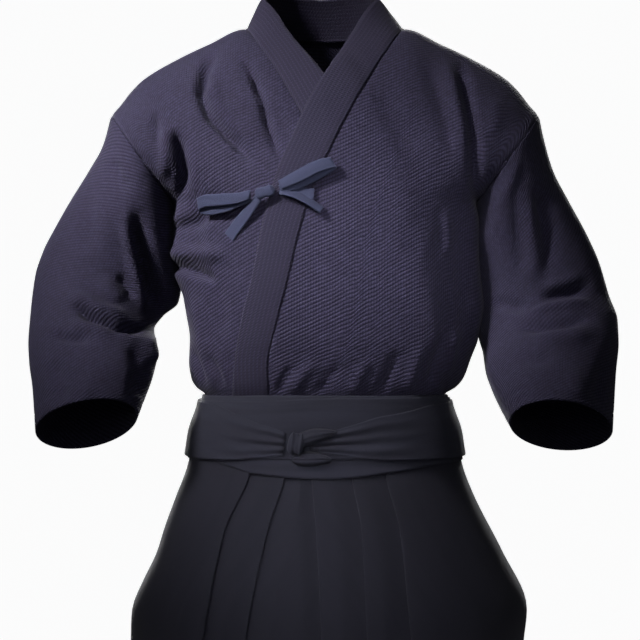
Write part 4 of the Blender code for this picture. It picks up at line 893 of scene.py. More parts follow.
# %% Chest bow
TIE_CLOTH = 0.0012
TIE_RISE = 0.0010
TAPE_CURL = 0.0007
TAPE_ROWS = 72
TAPE_COLUMNS_ACROSS = 11
TAPE_COLUMNS = "x z height width angle roll"
TAPES = {
    "tie_root": table(
        TAPE_COLUMNS,
        (-0.0140, -0.2208, 0.0089, 0.0135, 4.0, 0.0),
        (-0.0280, -0.2195, 0.0089, 0.0135, 4.0, 0.0),
        (-0.0420, -0.2180, 0.0090, 0.0130, 4.0, 0.0),
        (-0.0545, -0.2165, 0.0092, 0.0120, 4.0, 0.0),
    ),
    "tie_tail_left": table(
        TAPE_COLUMNS,
        (-0.0045, -0.2408, 0.0128, 0.0120, 40.0, 42.0),
        (-0.0150, -0.2335, 0.0136, 0.0135, 34.0, 48.0),
        (-0.0250, -0.2275, 0.0138, 0.0135, 26.0, 50.0),
        (-0.0375, -0.2215, 0.0136, 0.0125, 18.0, 46.0),
        (-0.0480, -0.2180, 0.0128, 0.0115, 10.0, 34.0),
        (-0.0555, -0.2165, 0.0118, 0.0105, 6.0, 20.0),
    ),
    "tie_loop_left": table(
        TAPE_COLUMNS,
        (-0.0550, -0.2150, 0.0125, 0.0105, -22.0, 0.0),
        (-0.0430, -0.2115, 0.0125, 0.0125, -24.0, 0.0),
        (-0.0280, -0.2060, 0.0127, 0.0140, -26.0, 0.0),
        (-0.0120, -0.1975, 0.0130, 0.0150, -28.0, 0.0),
        (0.0030, -0.1885, 0.0138, 0.0150, -30.0, 0.0),
        (0.0088, -0.1850, 0.0155, 0.0150, -32.0, 0.0),
        (0.0098, -0.1838, 0.0178, 0.0150, -32.0, 0.0),
        (0.0060, -0.1842, 0.0198, 0.0150, -30.0, 0.0),
        (-0.0090, -0.1885, 0.0200, 0.0155, -28.0, 0.0),
        (-0.0250, -0.1965, 0.0190, 0.0155, -26.0, 0.0),
        (-0.0400, -0.2040, 0.0175, 0.0140, -24.0, 0.0),
        (-0.0550, -0.2105, 0.0155, 0.0115, -22.0, 0.0),
    ),
    "tie_tail_right": table(
        TAPE_COLUMNS,
        (-0.0800, -0.2225, 0.0100, 0.0100, -36.0, 0.0),
        (-0.0880, -0.2335, 0.0088, 0.0120, -38.0, 0.0),
        (-0.0970, -0.2450, 0.0060, 0.0135, -42.0, 0.0),
        (-0.1090, -0.2590, 0.0030, 0.0145, -44.0, 0.0),
        (-0.1200, -0.2730, 0.0009, 0.0145, -46.0, 0.0),
    ),
    "tie_loop_right": table(
        TAPE_COLUMNS,
        (-0.0905, -0.2250, 0.0106, 0.0105, 6.0, 0.0),
        (-0.1060, -0.2300, 0.0100, 0.0130, 8.0, 0.0),
        (-0.1220, -0.2345, 0.0085, 0.0145, 6.0, 0.0),
        (-0.1380, -0.2365, 0.0070, 0.0150, 2.0, 0.0),
        (-0.1500, -0.2350, 0.0068, 0.0150, -6.0, 0.0),
        (-0.1535, -0.2330, 0.0085, 0.0150, -10.0, 0.0),
        (-0.1530, -0.2305, 0.0108, 0.0150, -10.0, 0.0),
        (-0.1490, -0.2280, 0.0124, 0.0150, -8.0, 0.0),
        (-0.1370, -0.2250, 0.0138, 0.0150, -2.0, 0.0),
        (-0.1210, -0.2240, 0.0145, 0.0150, 2.0, 0.0),
        (-0.1050, -0.2230, 0.0145, 0.0135, 4.0, 0.0),
        (-0.0905, -0.2200, 0.0140, 0.0110, 6.0, 0.0),
    ),
}
TIE_KNOT = {"x": -0.0728, "z": -0.2180, "height": 0.0140, "size": (0.0125, 0.0046, 0.0085), "tilt": 16.0}
print("strands of the bow:", len(TAPES))

# %% [markdown]
# A tape lies on the chest, so its points start on the jacket's surface and move out square to
# it. The surface's slope comes from its depth a small step to each side.

# %% Tapes laid on the jacket
DIFFERENCE_STEP = 0.001


def front_point(x, z, lift):
    """A point of the jacket's front, moved out square to it by the lift."""
    step = DIFFERENCE_STEP
    slope_x = (front_depth(x + step, z) - front_depth(x - step, z)) / (2 * step)
    slope_z = (front_depth(x, z + step) - front_depth(x, z - step)) / (2 * step)
    outward = -unit(np.stack([slope_x, np.ones_like(slope_x), slope_z], axis=-1))
    base = np.stack([x + 0 * z, -front_depth(x, z), z + 0 * x], axis=-1)
    return base + outward * np.asarray(lift)[..., None]


def tape_points(path):
    """A tape: straight lines across its middle line, set above the jacket by the path's height and
    rolled about that line, so that its lower edge comes forward."""
    path = dict(path, along=np.linspace(0.0, 1.0, len(path["x"])))
    rows = np.linspace(0.0, 1.0, TAPE_ROWS)
    line = {name: read(path, "along", name, rows) for name in TAPE_COLUMNS.split()}
    shares = np.linspace(-0.5, 0.5, TAPE_COLUMNS_ACROSS)[None, :]
    reach = line["width"][:, None] * shares
    angle, roll = np.radians(line["angle"])[:, None], np.radians(line["roll"])[:, None]
    x = line["x"][:, None] + reach * np.cos(roll) * np.sin(angle)
    z = line["z"][:, None] + reach * np.cos(roll) * np.cos(angle)
    above = front_point(line["x"], line["z"], line["height"] + TIE_RISE)
    level = front_point(line["x"], line["z"], 0 * line["height"])
    points = front_point(x, z, 0 * x) + (above - level)[:, None, :]
    points[..., 1] += TAPE_CURL * (2 * shares) ** 4 + reach * np.sin(roll)
    uv = np.stack([reach + 0 * points[..., 0], running_length(points, 0)], axis=2)
    return points, uv


for name, path in TAPES.items():
    points, uv = tape_points(path)
    cloth_piece(name, points, uv, TIE_CLOTH, "tie_tape")

# %% [markdown]
# A knot is one turn of the tape pulled tight over the crossing strands: a flattened ball with a
# waist, and shallow folds that run the way the tape is wound.

# %% Knots
KNOT_RINGS = 48
KNOT_TURNS = 64
KNOT_SQUARE = 0.8
KNOT_WAIST = 0.14
KNOT_UV_ROUND = 0.03


def knot_points(centre, size, tilt, folds, depth):
    """A flattened ball: a squared sphere with a pinched waist, grooved along the winding."""
    up = np.linspace(0.0, math.pi, KNOT_RINGS)[:, None]
    round_it = np.linspace(0.0, 2 * math.pi, KNOT_TURNS, endpoint=False)[None, :]
    ball = np.stack(
        [
            np.cos(up) + 0 * round_it,
            np.sin(up) * np.cos(round_it),
            np.sin(up) * np.sin(round_it),
        ],
        axis=2,
    )
    ball = signed_power(ball, KNOT_SQUARE)
    waist = 1 - KNOT_WAIST * np.cos(ball[..., 0] * math.pi)
    groove = 1 - depth * np.abs(np.sin(folds * ball[..., 0] + 0.6 * np.sin(round_it))) ** 0.7
    ball[..., 1:] *= (waist * groove)[..., None]
    ball = ball * np.array(size)
    angle = math.radians(tilt)
    x = ball[..., 0] * math.cos(angle) - ball[..., 2] * math.sin(angle)
    z = ball[..., 0] * math.sin(angle) + ball[..., 2] * math.cos(angle)
    return np.stack([x, ball[..., 1], z], axis=2) + centre


def knot_piece(node, centre, size, tilt, folds, depth, slot):
    """A knot's closed surface, with its poles drawn to points and merged."""
    points = knot_points(centre, size, tilt, folds, depth)
    round_it = np.linspace(0.0, KNOT_UV_ROUND, KNOT_TURNS + 1)
    along = np.linspace(0.0, 2 * size[0], KNOT_RINGS)
    uv = np.stack(np.broadcast_arrays(round_it[None, :], along[:, None]), axis=2)
    knot = bpy.data.objects.new(node + "_cloth", grid_mesh(node + "_cloth", points, uv, closed=True))
    bpy.context.scene.collection.objects.link(knot)
    weld = knot.modifiers.new("poles", "WELD")
    weld.merge_threshold = 1e-5
    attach(knot, "root")
    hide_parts(node)
    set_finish(knot, slot)
    PIECES[node] = knot
    print(node, "at", np.round(centre, 3))
    return knot


knot_x, knot_z = np.array([TIE_KNOT["x"]]), np.array([TIE_KNOT["z"]])
tie_centre = front_point(knot_x, knot_z, np.array([TIE_KNOT["height"] + TIE_RISE]))[0]
knot_piece("tie_knot", tie_centre, TIE_KNOT["size"], TIE_KNOT["tilt"], 5.0, 0.10, "tie_tape")

# %% [markdown]
# The trousers are a skirt-like pair: five deep knife pleats in front, three on the left panel
# and two on the right one, all facing the middle, and one at each side of the centre back. Below
# the waistband the side seams start with an open slit. A pleat is a fold of the panel back
# under itself, so each row follows the section's outline inwards and out again.

# %% Sizes of the trousers
TROUSER_CLOTH = 0.0012
TROUSERS = table(
    "z       half    front   back",
    (-0.470, 0.1555, 0.1160, 0.1080),
    (-0.487, 0.1590, 0.1165, 0.1100),
    (-0.520, 0.1700, 0.1170, 0.1120),
    (-0.545, 0.1740, 0.1180, 0.1140),
    (-0.562, 0.1770, 0.1190, 0.1160),
    (-0.600, 0.1910, 0.1235, 0.1230),
    (-0.675, 0.2290, 0.1330, 0.1370),
    (-0.750, 0.2610, 0.1430, 0.1500),
    (-0.800, 0.2560, 0.1490, 0.1580),
    (-0.900, 0.2720, 0.1610, 0.1700),
    (-1.050, 0.3010, 0.1750, 0.1850),
    (-1.220, 0.3280, 0.1890, 0.1990),
    (-1.390, 0.3460, 0.2000, 0.2100),
)
PLEATS = table(
    "z       right_2 right_1 left_3  left_2  left_1   back    pitch   tuck",
    (-0.487, 0.0930, 0.0480, 0.0750, 0.0320, -0.0180, 0.0300, 0.0018, 0.016),
    (-0.562, 0.0940, 0.0500, 0.0760, 0.0330, -0.0170, 0.0290, 0.0018, 0.016),
    (-0.640, 0.1260, 0.0720, 0.0940, 0.0460, -0.0110, 0.0270, 0.0021, 0.018),
    (-0.777, 0.1530, 0.0990, 0.1080, 0.0530, -0.0040, 0.0230, 0.0031, 0.022),
    (-1.390, 0.2120, 0.1420, 0.1800, 0.0960, 0.0100, 0.0150, 0.0075, 0.042),
)
PLEAT_NAMES = {"right": ("right_2", "right_1"), "left": ("left_3", "left_2", "left_1"), "back": ("back",)}
SLITS = table(
    "z       front   back",
    (-0.487, 0.0080, 0.0040),
    (-0.562, 0.0120, 0.0060),
    (-0.640, 0.0180, 0.0100),
    (-0.740, 0.0060, 0.0040),
    (-0.760, 0.0000, 0.0000),
    (-1.390, 0.0000, 0.0000),
)
HIP_TAKE_IN = table(
    "z       share",
    (-0.600, 0.000),
    (-0.640, 0.030),
    (-0.675, 0.054),
    (-0.720, 0.060),
    (-0.750, 0.045),
    (-0.800, 0.018),
    (-0.880, 0.000),
)
HIP_REACH = (0.150, 0.235)
CENTRE_LAP = 0.006
PLEAT_RISE = 0.034
CENTRE_REACH = (0.004, 0.030)
TROUSER_TOP = -0.487
TROUSER_HEM = -1.390
TROUSER_STEP = 0.010
FLAT_POINTS = 12
FOLD_POINTS = 7
SECTION_POINTS = 721


print("pleats in front:", len(PLEAT_NAMES["left"]) + len(PLEAT_NAMES["right"]))

# %% [markdown]
# A row of a panel is a path along the section's outline, given by the length run and how far
# inside the outline it lies. A pleat doubles that path back twice, with round folded edges.

# %% One row of a panel
def waist_section(z, face):
    """Half the trousers' oval at a height: points and outward ways from side to side, and the
    length run along it."""
    turn = np.linspace(0, math.pi, SECTION_POINTS)
    half, depth = read(TROUSERS, "z", "half", z), read(TROUSERS, "z", face, z)
    x = half * signed_power(np.cos(turn), 2 / OVAL_POWER)
    y = depth * np.sin(turn) ** (2 / OVAL_POWER)
    points = np.stack([x, -y if face == "front" else y], axis=1)
    along = np.gradient(points, axis=0)
    outward = unit(np.stack([along[:, 1], -along[:, 0]], axis=1))
    outward *= np.sign(np.sum(outward * points, axis=1, keepdims=True))
    length = np.concatenate([[0], np.cumsum(np.linalg.norm(np.diff(points, axis=0), axis=1))])
    return points, outward, length


def place_on_section(z, face, lengths, insets):
    """Points at those lengths along the oval, moved in from it by the insets."""
    points, outward, length = waist_section(z, face)
    at = np.stack([np.interp(lengths, length, points[:, i]) for i in range(2)], axis=1)
    out = unit(np.stack([np.interp(lengths, length, outward[:, i]) for i in range(2)], axis=1))
    at = at - out * np.asarray(insets)[:, None]
    return np.column_stack([at, np.full(len(at), z)])


def flat_part(start, end, inset_start, inset_end, count=FLAT_POINTS):
    """A smooth stretch between two lengths, without its last point."""
    share = np.linspace(0.0, 1.0, count, endpoint=False)
    return start + (end - start) * share, inset_start + (inset_end - inset_start) * ease(0.0, 1.0, share)


def round_part(edge, way, inset, half, count=FOLD_POINTS):
    """Half a circle round a folded edge, without its last point: way is 1 or -1."""
    angle = np.linspace(0.0, math.pi, count, endpoint=False)
    return edge - half * way + half * way * np.sin(angle), inset + half * (1 - np.cos(angle))


def panel_row(z, side, face):
    """One row of a trouser panel, laid out on the left, from the side to the centre seam: out to
    each folded edge, back under by the tuck, and round again to the next visible part."""
    points, _, length = waist_section(z, face)
    pitch, tuck = float(read(PLEATS, "z", "pitch", z)), float(read(PLEATS, "z", "tuck", z))
    names = PLEAT_NAMES["back" if face == "back" else side]
    edges = [float(read(PLEATS, "z", name, z)) for name in names]
    under_right = side == "right" and face == "front"
    lap = float(read(PLEATS, "z", "left_1", z)) + CENTRE_LAP
    centre = 0.0 if face == "back" else lap
    if under_right:
        centre = SEAM_HALF * 2 - lap
    stops = np.interp([-e for e in edges + [centre]], -points[:, 0], length)
    start = float(read(SLITS, "z", face, z))
    half = pitch / 2
    parts = []
    for i, edge in enumerate(stops[:-1]):
        parts.append(flat_part(start, edge - half, 0.0, 0.0, 3 * FLAT_POINTS))
        parts.append(round_part(edge, 1, 0.0, half))
        parts.append(flat_part(edge - half, edge - tuck + half, pitch, pitch))
        parts.append(round_part(edge - tuck, -1, pitch, half))
        parts.append(flat_part(edge - tuck + half, edge, 2 * pitch, 2 * pitch))
        start = edge
        if i < len(stops) - 2:
            parts.append(flat_part(edge, edge + PLEAT_RISE, 2 * pitch, 0.0))
            start = edge + PLEAT_RISE
    end = stops[-1]
    short = side == "left" and face == "front"
    reach = np.linspace(start, end, FLAT_POINTS if short else 3 * FLAT_POINTS)
    free = 0 * reach
    if under_right:
        near, far = CENTRE_REACH
        free = np.minimum(ease(start, start + PLEAT_RISE, reach), ease(end - near, end - far, reach))
    parts.append((reach, 2 * pitch * (1 - free)))
    lengths, insets = (np.concatenate([part[i] for part in parts]) for i in range(2))
    return place_on_section(z, face, lengths, insets)


print("points in a row of the left front panel:", len(panel_row(TROUSER_HEM, "left", "front")))

# %% [markdown]
# Stacking the rows gives the panel. Below the hips it also hangs in a few broad soft folds.

# %% Trouser panels
# Soft folds that run down the panels: place across and half width as shares, and height
PANEL_FOLDS = {
    ("left", "front"): ((0.10, 0.05, 0.0060), (0.24, 0.06, -0.0050), (0.40, 0.05, 0.0035)),
    ("right", "front"): ((0.12, 0.06, 0.0050), (0.27, 0.06, -0.0060), (0.92, 0.05, 0.0050)),
    ("left", "back"): ((0.14, 0.06, 0.0060), (0.32, 0.07, -0.0070), (0.52, 0.06, 0.0050)),
    ("right", "back"): ((0.18, 0.06, 0.0055), (0.36, 0.07, -0.0065), (0.56, 0.06, 0.0050)),
}

FOLD_HEIGHTS = (-0.600, -1.100)


def trouser_panel_points(side, face):
    """A panel's rows by height, with soft folds that deepen towards the hem."""
    heights = np.linspace(TROUSER_TOP, TROUSER_HEM, round((TROUSER_TOP - TROUSER_HEM) / TROUSER_STEP))
    points = np.array([panel_row(z, side, face) for z in heights])
    uv = np.stack([running_length(points, 1), running_length(points, 0)], axis=2)
    share = uv[..., 0] / uv[:, -1:, 0]
    down = ease(*FOLD_HEIGHTS, heights)[:, None]
    height = sum(size * np.exp(-(((share - at) / width) ** 2)) for at, width, size in PANEL_FOLDS[side, face])
    outward = unit(points * [1, 1, 0])
    points = points + outward * (height * down)[..., None]
    if side == "right":
        share = read(HIP_TAKE_IN, "z", "share", points[..., 2])
        points[..., 0] *= 1 - share * ease(*HIP_REACH, points[..., 0])
    sign = 1 if side == "left" else -1
    return points * [sign, 1, 1], uv * [sign, 1]


for side in ("left", "right"):
    for face in ("front", "back"):
        points, uv = trouser_panel_points(side, face)
        cloth_piece(f"trouser_{face}_{side}", points, uv, TROUSER_CLOTH, "trouser_cloth")

# %% [markdown]
# The trousers are divided: below the crotch an inner panel closes each leg on its inside. They
# hardly show, and they are plain sheets from just behind the front panels to just before the
# back ones.

# %% Inner leg panels
INNER_LEG_TOP = -0.970
INNER_LEG_COLUMNS = 24
INNER_LEG_ROWS = 44
INNER_LEG = table(
    "z       left    right   inset",
    (-0.965, 0.0060, -0.0060, 0.0110),
    (-1.090, 0.0200, -0.0190, 0.0120),
    (-1.240, 0.0330, -0.0300, 0.0130),
    (-1.390, 0.0430, -0.0390, 0.0140),
)
INNER_LEG_OVERHANG = 0.010


def inner_leg_points(side):
    """An inner leg panel: a flat sheet bowed a little towards its own leg."""
    z = np.linspace(INNER_LEG_TOP, TROUSER_HEM, INNER_LEG_ROWS)
    pitch, lap = read(PLEATS, "z", "pitch", z), read(INNER_LEG, "z", "inset", z)
    front = -read(TROUSERS, "z", "front", z) + 2 * pitch + lap - INNER_LEG_OVERHANG
    back = read(TROUSERS, "z", "back", z) - 2 * pitch - lap + INNER_LEG_OVERHANG
    shares = np.linspace(0, 1, INNER_LEG_COLUMNS)[None, :]
    bow = 0.6 + 0.4 * np.sin(shares * math.pi)
    x = read(INNER_LEG, "z", side, z)[:, None] * bow
    y = front[:, None] + (back - front)[:, None] * shares
    points = np.stack([x, y, z[:, None] + 0 * x], axis=2)
    return points, np.stack([running_length(points, 1), running_length(points, 0)], axis=2)


for side in ("left", "right"):
    points, uv = inner_leg_points(side)
    cloth_piece("inner_leg_" + side, points, uv, TROUSER_CLOTH, "trouser_cloth")

# %% [markdown]
# The front panel's long straps go twice round the waist, the second turn a little higher than
# the first, so that both show at the lower edge. The back straps come round from the stiff
# board over them and are gathered into the knot. All are folded bands of several layers, with
# fine creases along them.

# %% Sizes of the straps
STRAP_CLOTH = 0.0013
BOARD_THICKNESS = 0.0040
WRAP_INNER = table(
    "turn    top     bottom",
    (-180.0, -0.4740, -0.5450),
    (-90.0, -0.4740, -0.5450),
    (0.0, -0.4740, -0.5560),
    (40.0, -0.4720, -0.5600),
    (65.0, -0.4722, -0.5680),
    (90.0, -0.4715, -0.5760),
    (115.0, -0.4718, -0.5700),
    (140.0, -0.4730, -0.5560),
    (180.0, -0.4740, -0.5540),
    (270.0, -0.4740, -0.5450),
)
WRAP_OUTER = table(
    "turn    top     bottom",
    (-90.0, -0.4800, -0.5400),
    (0.0, -0.4770, -0.5490),
    (60.0, -0.4745, -0.5510),
    (90.0, -0.4750, -0.5520),
    (115.0, -0.4790, -0.5520),
    (180.0, -0.4800, -0.5490),
    (270.0, -0.4800, -0.5400),
)
WRAP_INNER_OUTSET = 0.0023
WRAP_OUTER_OUTSET = 0.0044
STRAP_OUTSET = 0.0065
STRAPS = {
    "left": table(
        "turn    top      bottom",
        (-44.0, -0.4780, -0.5230),
        (-15.0, -0.4790, -0.5400),
        (10.0, -0.4810, -0.5510),
        (36.0, -0.4840, -0.5530),
        (61.0, -0.4945, -0.5530),
        (70.5, -0.4985, -0.5520),
        (79.0, -0.5060, -0.5500),
        (86.0, -0.5130, -0.5460),
        (94.0, -0.5210, -0.5420),
    ),
    "right": table(
        "turn    top      bottom",
        (-44.0, -0.4780, -0.5230),
        (-15.0, -0.4790, -0.5400),
        (10.0, -0.4810, -0.5510),
        (31.0, -0.4830, -0.5530),
        (55.0, -0.4980, -0.5530),
        (65.0, -0.5070, -0.5500),
        (73.0, -0.5130, -0.5480),
        (77.0, -0.5180, -0.5460),
    ),
}
BOARD = table(
    "z       half    depth",
    (-0.5000, 0.1180, 0.1208),
    (-0.4700, 0.1100, 0.1173),
    (-0.4400, 0.0990, 0.1130),
    (-0.4050, 0.0820, 0.1110),
)
BOARD_CLEARANCE = 0.0040
STRAP_TURN_STEP = 1.25
STRAP_ROWS = 34
BAND_CREASE_WIDTH = 0.016
BAND_CREASES = ((0.10, 0.00030, 7.0), (0.23, 0.00022, 5.0), (0.55, 0.00030, 9.0), (0.71, 0.00022, 4.0))


print("straps stand off the trousers by", WRAP_INNER_OUTSET, WRAP_OUTER_OUTSET, STRAP_OUTSET)

# %% [markdown]
# A strap is a band between a top and a bottom line round the waist, moved out square to the
# trousers, each layer further than the one beneath it.

# %% Bands round the waist
def ring_point(turn, z, outset):
    """A point on the trousers' oval at an angle from the left side towards the front."""
    angle = np.radians(turn)
    half = read(TROUSERS, "z", "half", z)
    front, back = read(TROUSERS, "z", "front", z), read(TROUSERS, "z", "back", z)
    x = half * signed_power(np.cos(angle), 2 / OVAL_POWER)
    sine = np.sin(angle)
    y = -np.where(sine > 0, front, back) * signed_power(sine, 2 / OVAL_POWER)
    outward = unit(np.stack([x / half**2, y / np.where(sine > 0, front, back) ** 2], axis=-1))
    return np.stack([x + outward[..., 0] * outset, y + outward[..., 1] * outset, z + 0 * x], axis=-1)


def band_relief(shares, turns):
    """Fine creases along a band: thin grooves that wander a little up and down as they go."""
    height = 0 * shares * turns
    for at, size, waves in BAND_CREASES:
        line = at + 0.02 * np.sin(np.radians(turns) * waves + 9 * at)
        height = height - size * np.exp(-(((shares - line) / BAND_CREASE_WIDTH) ** 2))
    return height


def band_points(edges, turns, outset, relief):
    """A band between its top and bottom edges, as rows from top to bottom."""
    shares = np.linspace(0, 1, STRAP_ROWS)[:, None]
    top, bottom = read(edges, "turn", "top", turns), read(edges, "turn", "bottom", turns)
    z = top * (1 - shares) + bottom * shares
    points = ring_point(turns[None, :] + 0 * shares, z, outset + relief(shares, turns[None, :]))
    along = running_length(points, 1)
    return points, along, top[None, :] - z


WRAPS = {"inner": (WRAP_INNER, WRAP_INNER_OUTSET), "outer": (WRAP_OUTER, WRAP_OUTER_OUTSET)}
for name, (edges, outset) in WRAPS.items():
    turns = np.arange(-90.0, 270.0, STRAP_TURN_STEP)
    points, along, down = band_points(edges, turns, outset, band_relief)
    along = np.concatenate([along, 2 * along[:, -1:] - along[:, -2:-1]], axis=1)
    down = np.concatenate([down, down[:, :1]], axis=1)
    uv = np.stack([down, along], axis=2)
    cloth_piece("front_strap_" + name, points, uv, STRAP_CLOTH, "strap_cloth", closed=True)

# %% [markdown]
# A back strap is wide at the board and narrow at the knot, so its cloth gathers: the folds fan
# out from the knot and die away towards the side.

# %% Back straps
GATHER_START = 30.0
GATHERS = {
    "left": (
        (0.18, 0.0016), (0.34, -0.0016), (0.48, 0.0018), (0.62, -0.0018), (0.78, 0.0016), (0.92, -0.0010),
    ),
    "right": (
        (0.14, 0.0014), (0.30, -0.0018), (0.46, 0.0022), (0.60, -0.0020), (0.76, 0.0018), (0.90, -0.0012),
    ),
}
GATHER_WIDTH = 0.075
GATHER_BASE = 0.0006
CREASE_SHARE = 0.4


def strap_points(side):
    """Half of the back strap, from the board round one side to the knot, with its gathers."""
    edges = STRAPS[side]
    first, last = edges["turn"][0], edges["turn"][-1]
    turns = np.linspace(first, last, round((last - first) / STRAP_TURN_STEP))

    def relief(shares, turns):
        gathered = ease(GATHER_START, last, turns) ** 1.5
        height = GATHER_BASE + 0 * shares * turns
        for at, size in GATHERS[side]:
            height = height + size * gathered * np.exp(-(((shares - at) / GATHER_WIDTH) ** 2))
        return height + CREASE_SHARE * band_relief(shares, turns)

    points, along, down = band_points(edges, turns, STRAP_OUTSET, relief)
    sign = 1 if side == "left" else -1
    return points * [sign, 1, 1], np.stack([down, along], axis=2)


for side in ("left", "right"):
    points, uv = strap_points(side)
    cloth_piece("back_strap_" + side, points, uv, STRAP_CLOTH, "strap_cloth")

# %% [markdown]
# The board behind the waist is a stiff, cloth-covered trapezoid that props the trousers up. It
# is one sheet hollowed a little to the section behind it, with a stitched line round its rim.

# %% Board
BOARD_ROWS = 40
BOARD_COLUMNS = 80
BOARD_QUILT = 0.0004
BOARD_RIM = 0.0016
RIM_SHARE = 0.03
QUILT_PLACE = (0.10, 0.012)


def board_points():
    """The board: rows by height across the back, a little hollow, with a soft rolled rim."""
    z = np.linspace(BOARD["z"][0], BOARD["z"][-1], BOARD_ROWS)[:, None]
    half, depth = read(BOARD, "z", "half", z), read(BOARD, "z", "depth", z)
    shares = np.linspace(-1.0, 1.0, BOARD_COLUMNS)[None, :]
    x = half * shares
    section_half = read(TROUSERS, "z", "half", np.minimum(z, TROUSERS["z"][0])) + BOARD_CLEARANCE
    y = oval_depth(x, section_half, depth)
    up = (z - z[0, 0]) / (z[-1, 0] - z[0, 0])
    rim = np.minimum(np.minimum(1 - np.abs(shares), up + 0.05), 1.02 - up)
    place, width = QUILT_PLACE
    y = y - BOARD_RIM * np.exp(-rim / RIM_SHARE) - BOARD_QUILT * np.exp(-(((rim - place) / width) ** 2))
    points = np.stack([x, y, z + 0 * x], axis=2)
    return points, np.stack([running_length(points, 1), running_length(points, 0)], axis=2)


points, uv = board_points()
cloth_piece("back_board", points, uv, BOARD_THICKNESS, "trouser_cloth")

# %% [markdown]
# The knot in front is one turn of the gathered strap pulled tight, with a short fold standing
# above it on the left and another below. The folds are low domes that rise from the strap, so
# that they lie on it as the cloth does.

# %% Front knot
STRAP_KNOT = {"x": -0.0344, "z": -0.5315, "outset": 0.0130, "size": (0.0105, 0.0088, 0.0160), "tilt": -12.0}
STRAP_ENDS = {
    "strap_knot_end_upper": table(
        "x       top     bottom   outset",
        (-0.0330, -0.5200, -0.5360, 0.0150),
        (-0.0240, -0.5160, -0.5350, 0.0175),
        (-0.0120, -0.5130, -0.5310, 0.0165),
        (0.0000, -0.5135, -0.5260, 0.0140),
        (0.0090, -0.5150, -0.5220, 0.0110),
        (0.0150, -0.5165, -0.5190, 0.0080),
    ),
    "strap_knot_end_lower": table(
        "x       top     bottom   outset",
        (-0.0400, -0.5480, -0.5540, 0.0090),
        (-0.0330, -0.5440, -0.5580, 0.0125),
        (-0.0200, -0.5420, -0.5590, 0.0135),
        (-0.0060, -0.5440, -0.5570, 0.0120),
        (0.0070, -0.5500, -0.5540, 0.0080),
    ),
}
STRAP_END_FOOT = 0.0070
STRAP_END_GROOVE = 0.0006
END_ROWS = 40
END_COLUMNS = 16


def oval_turn(x, half):
    """The angle from the left side at which the oval has that x."""
    return np.degrees(np.arccos(signed_power(x / half, OVAL_POWER / 2)))


def strap_end_points(edges):
    """A short fold beside the knot: a dome that rises from the strap to the table's height, with
    two shallow grooves along it."""
    x = np.linspace(edges["x"][0], edges["x"][-1], END_ROWS)[:, None]
    top, bottom = read(edges, "x", "top", x), read(edges, "x", "bottom", x)
    shares = np.linspace(0, 1, END_COLUMNS)[None, :]
    z = top + (bottom - top) * shares
    dome = np.sqrt(1 - (2 * shares - 1) ** 2)
    groove = STRAP_END_GROOVE * np.sin(shares * 6 * math.pi) * dome
    rise = (read(edges, "x", "outset", x) - STRAP_END_FOOT) * dome
    turn = oval_turn(x + 0 * z, read(TROUSERS, "z", "half", z))
    points = ring_point(turn, z, STRAP_END_FOOT + rise + groove)
    return points, np.stack([running_length(points, 1), running_length(points, 0)], axis=2)


for name, edges in STRAP_ENDS.items():
    points, uv = strap_end_points(edges)
    cloth_piece(name, points, uv, STRAP_CLOTH, "strap_cloth")

knot_turn = oval_turn(STRAP_KNOT["x"], float(read(TROUSERS, "z", "half", STRAP_KNOT["z"])))
knot_centre = ring_point(np.array([knot_turn]), np.array([STRAP_KNOT["z"]]), STRAP_KNOT["outset"])[0]
knot_piece("strap_knot", knot_centre, STRAP_KNOT["size"], STRAP_KNOT["tilt"], 6.0, 0.12, "strap_cloth")

# %% [markdown]
# All the cloth is indigo cotton, and only its weave and shade differ. A small helper adds nodes
# and joins them, so that each finish below reads as its own few steps.

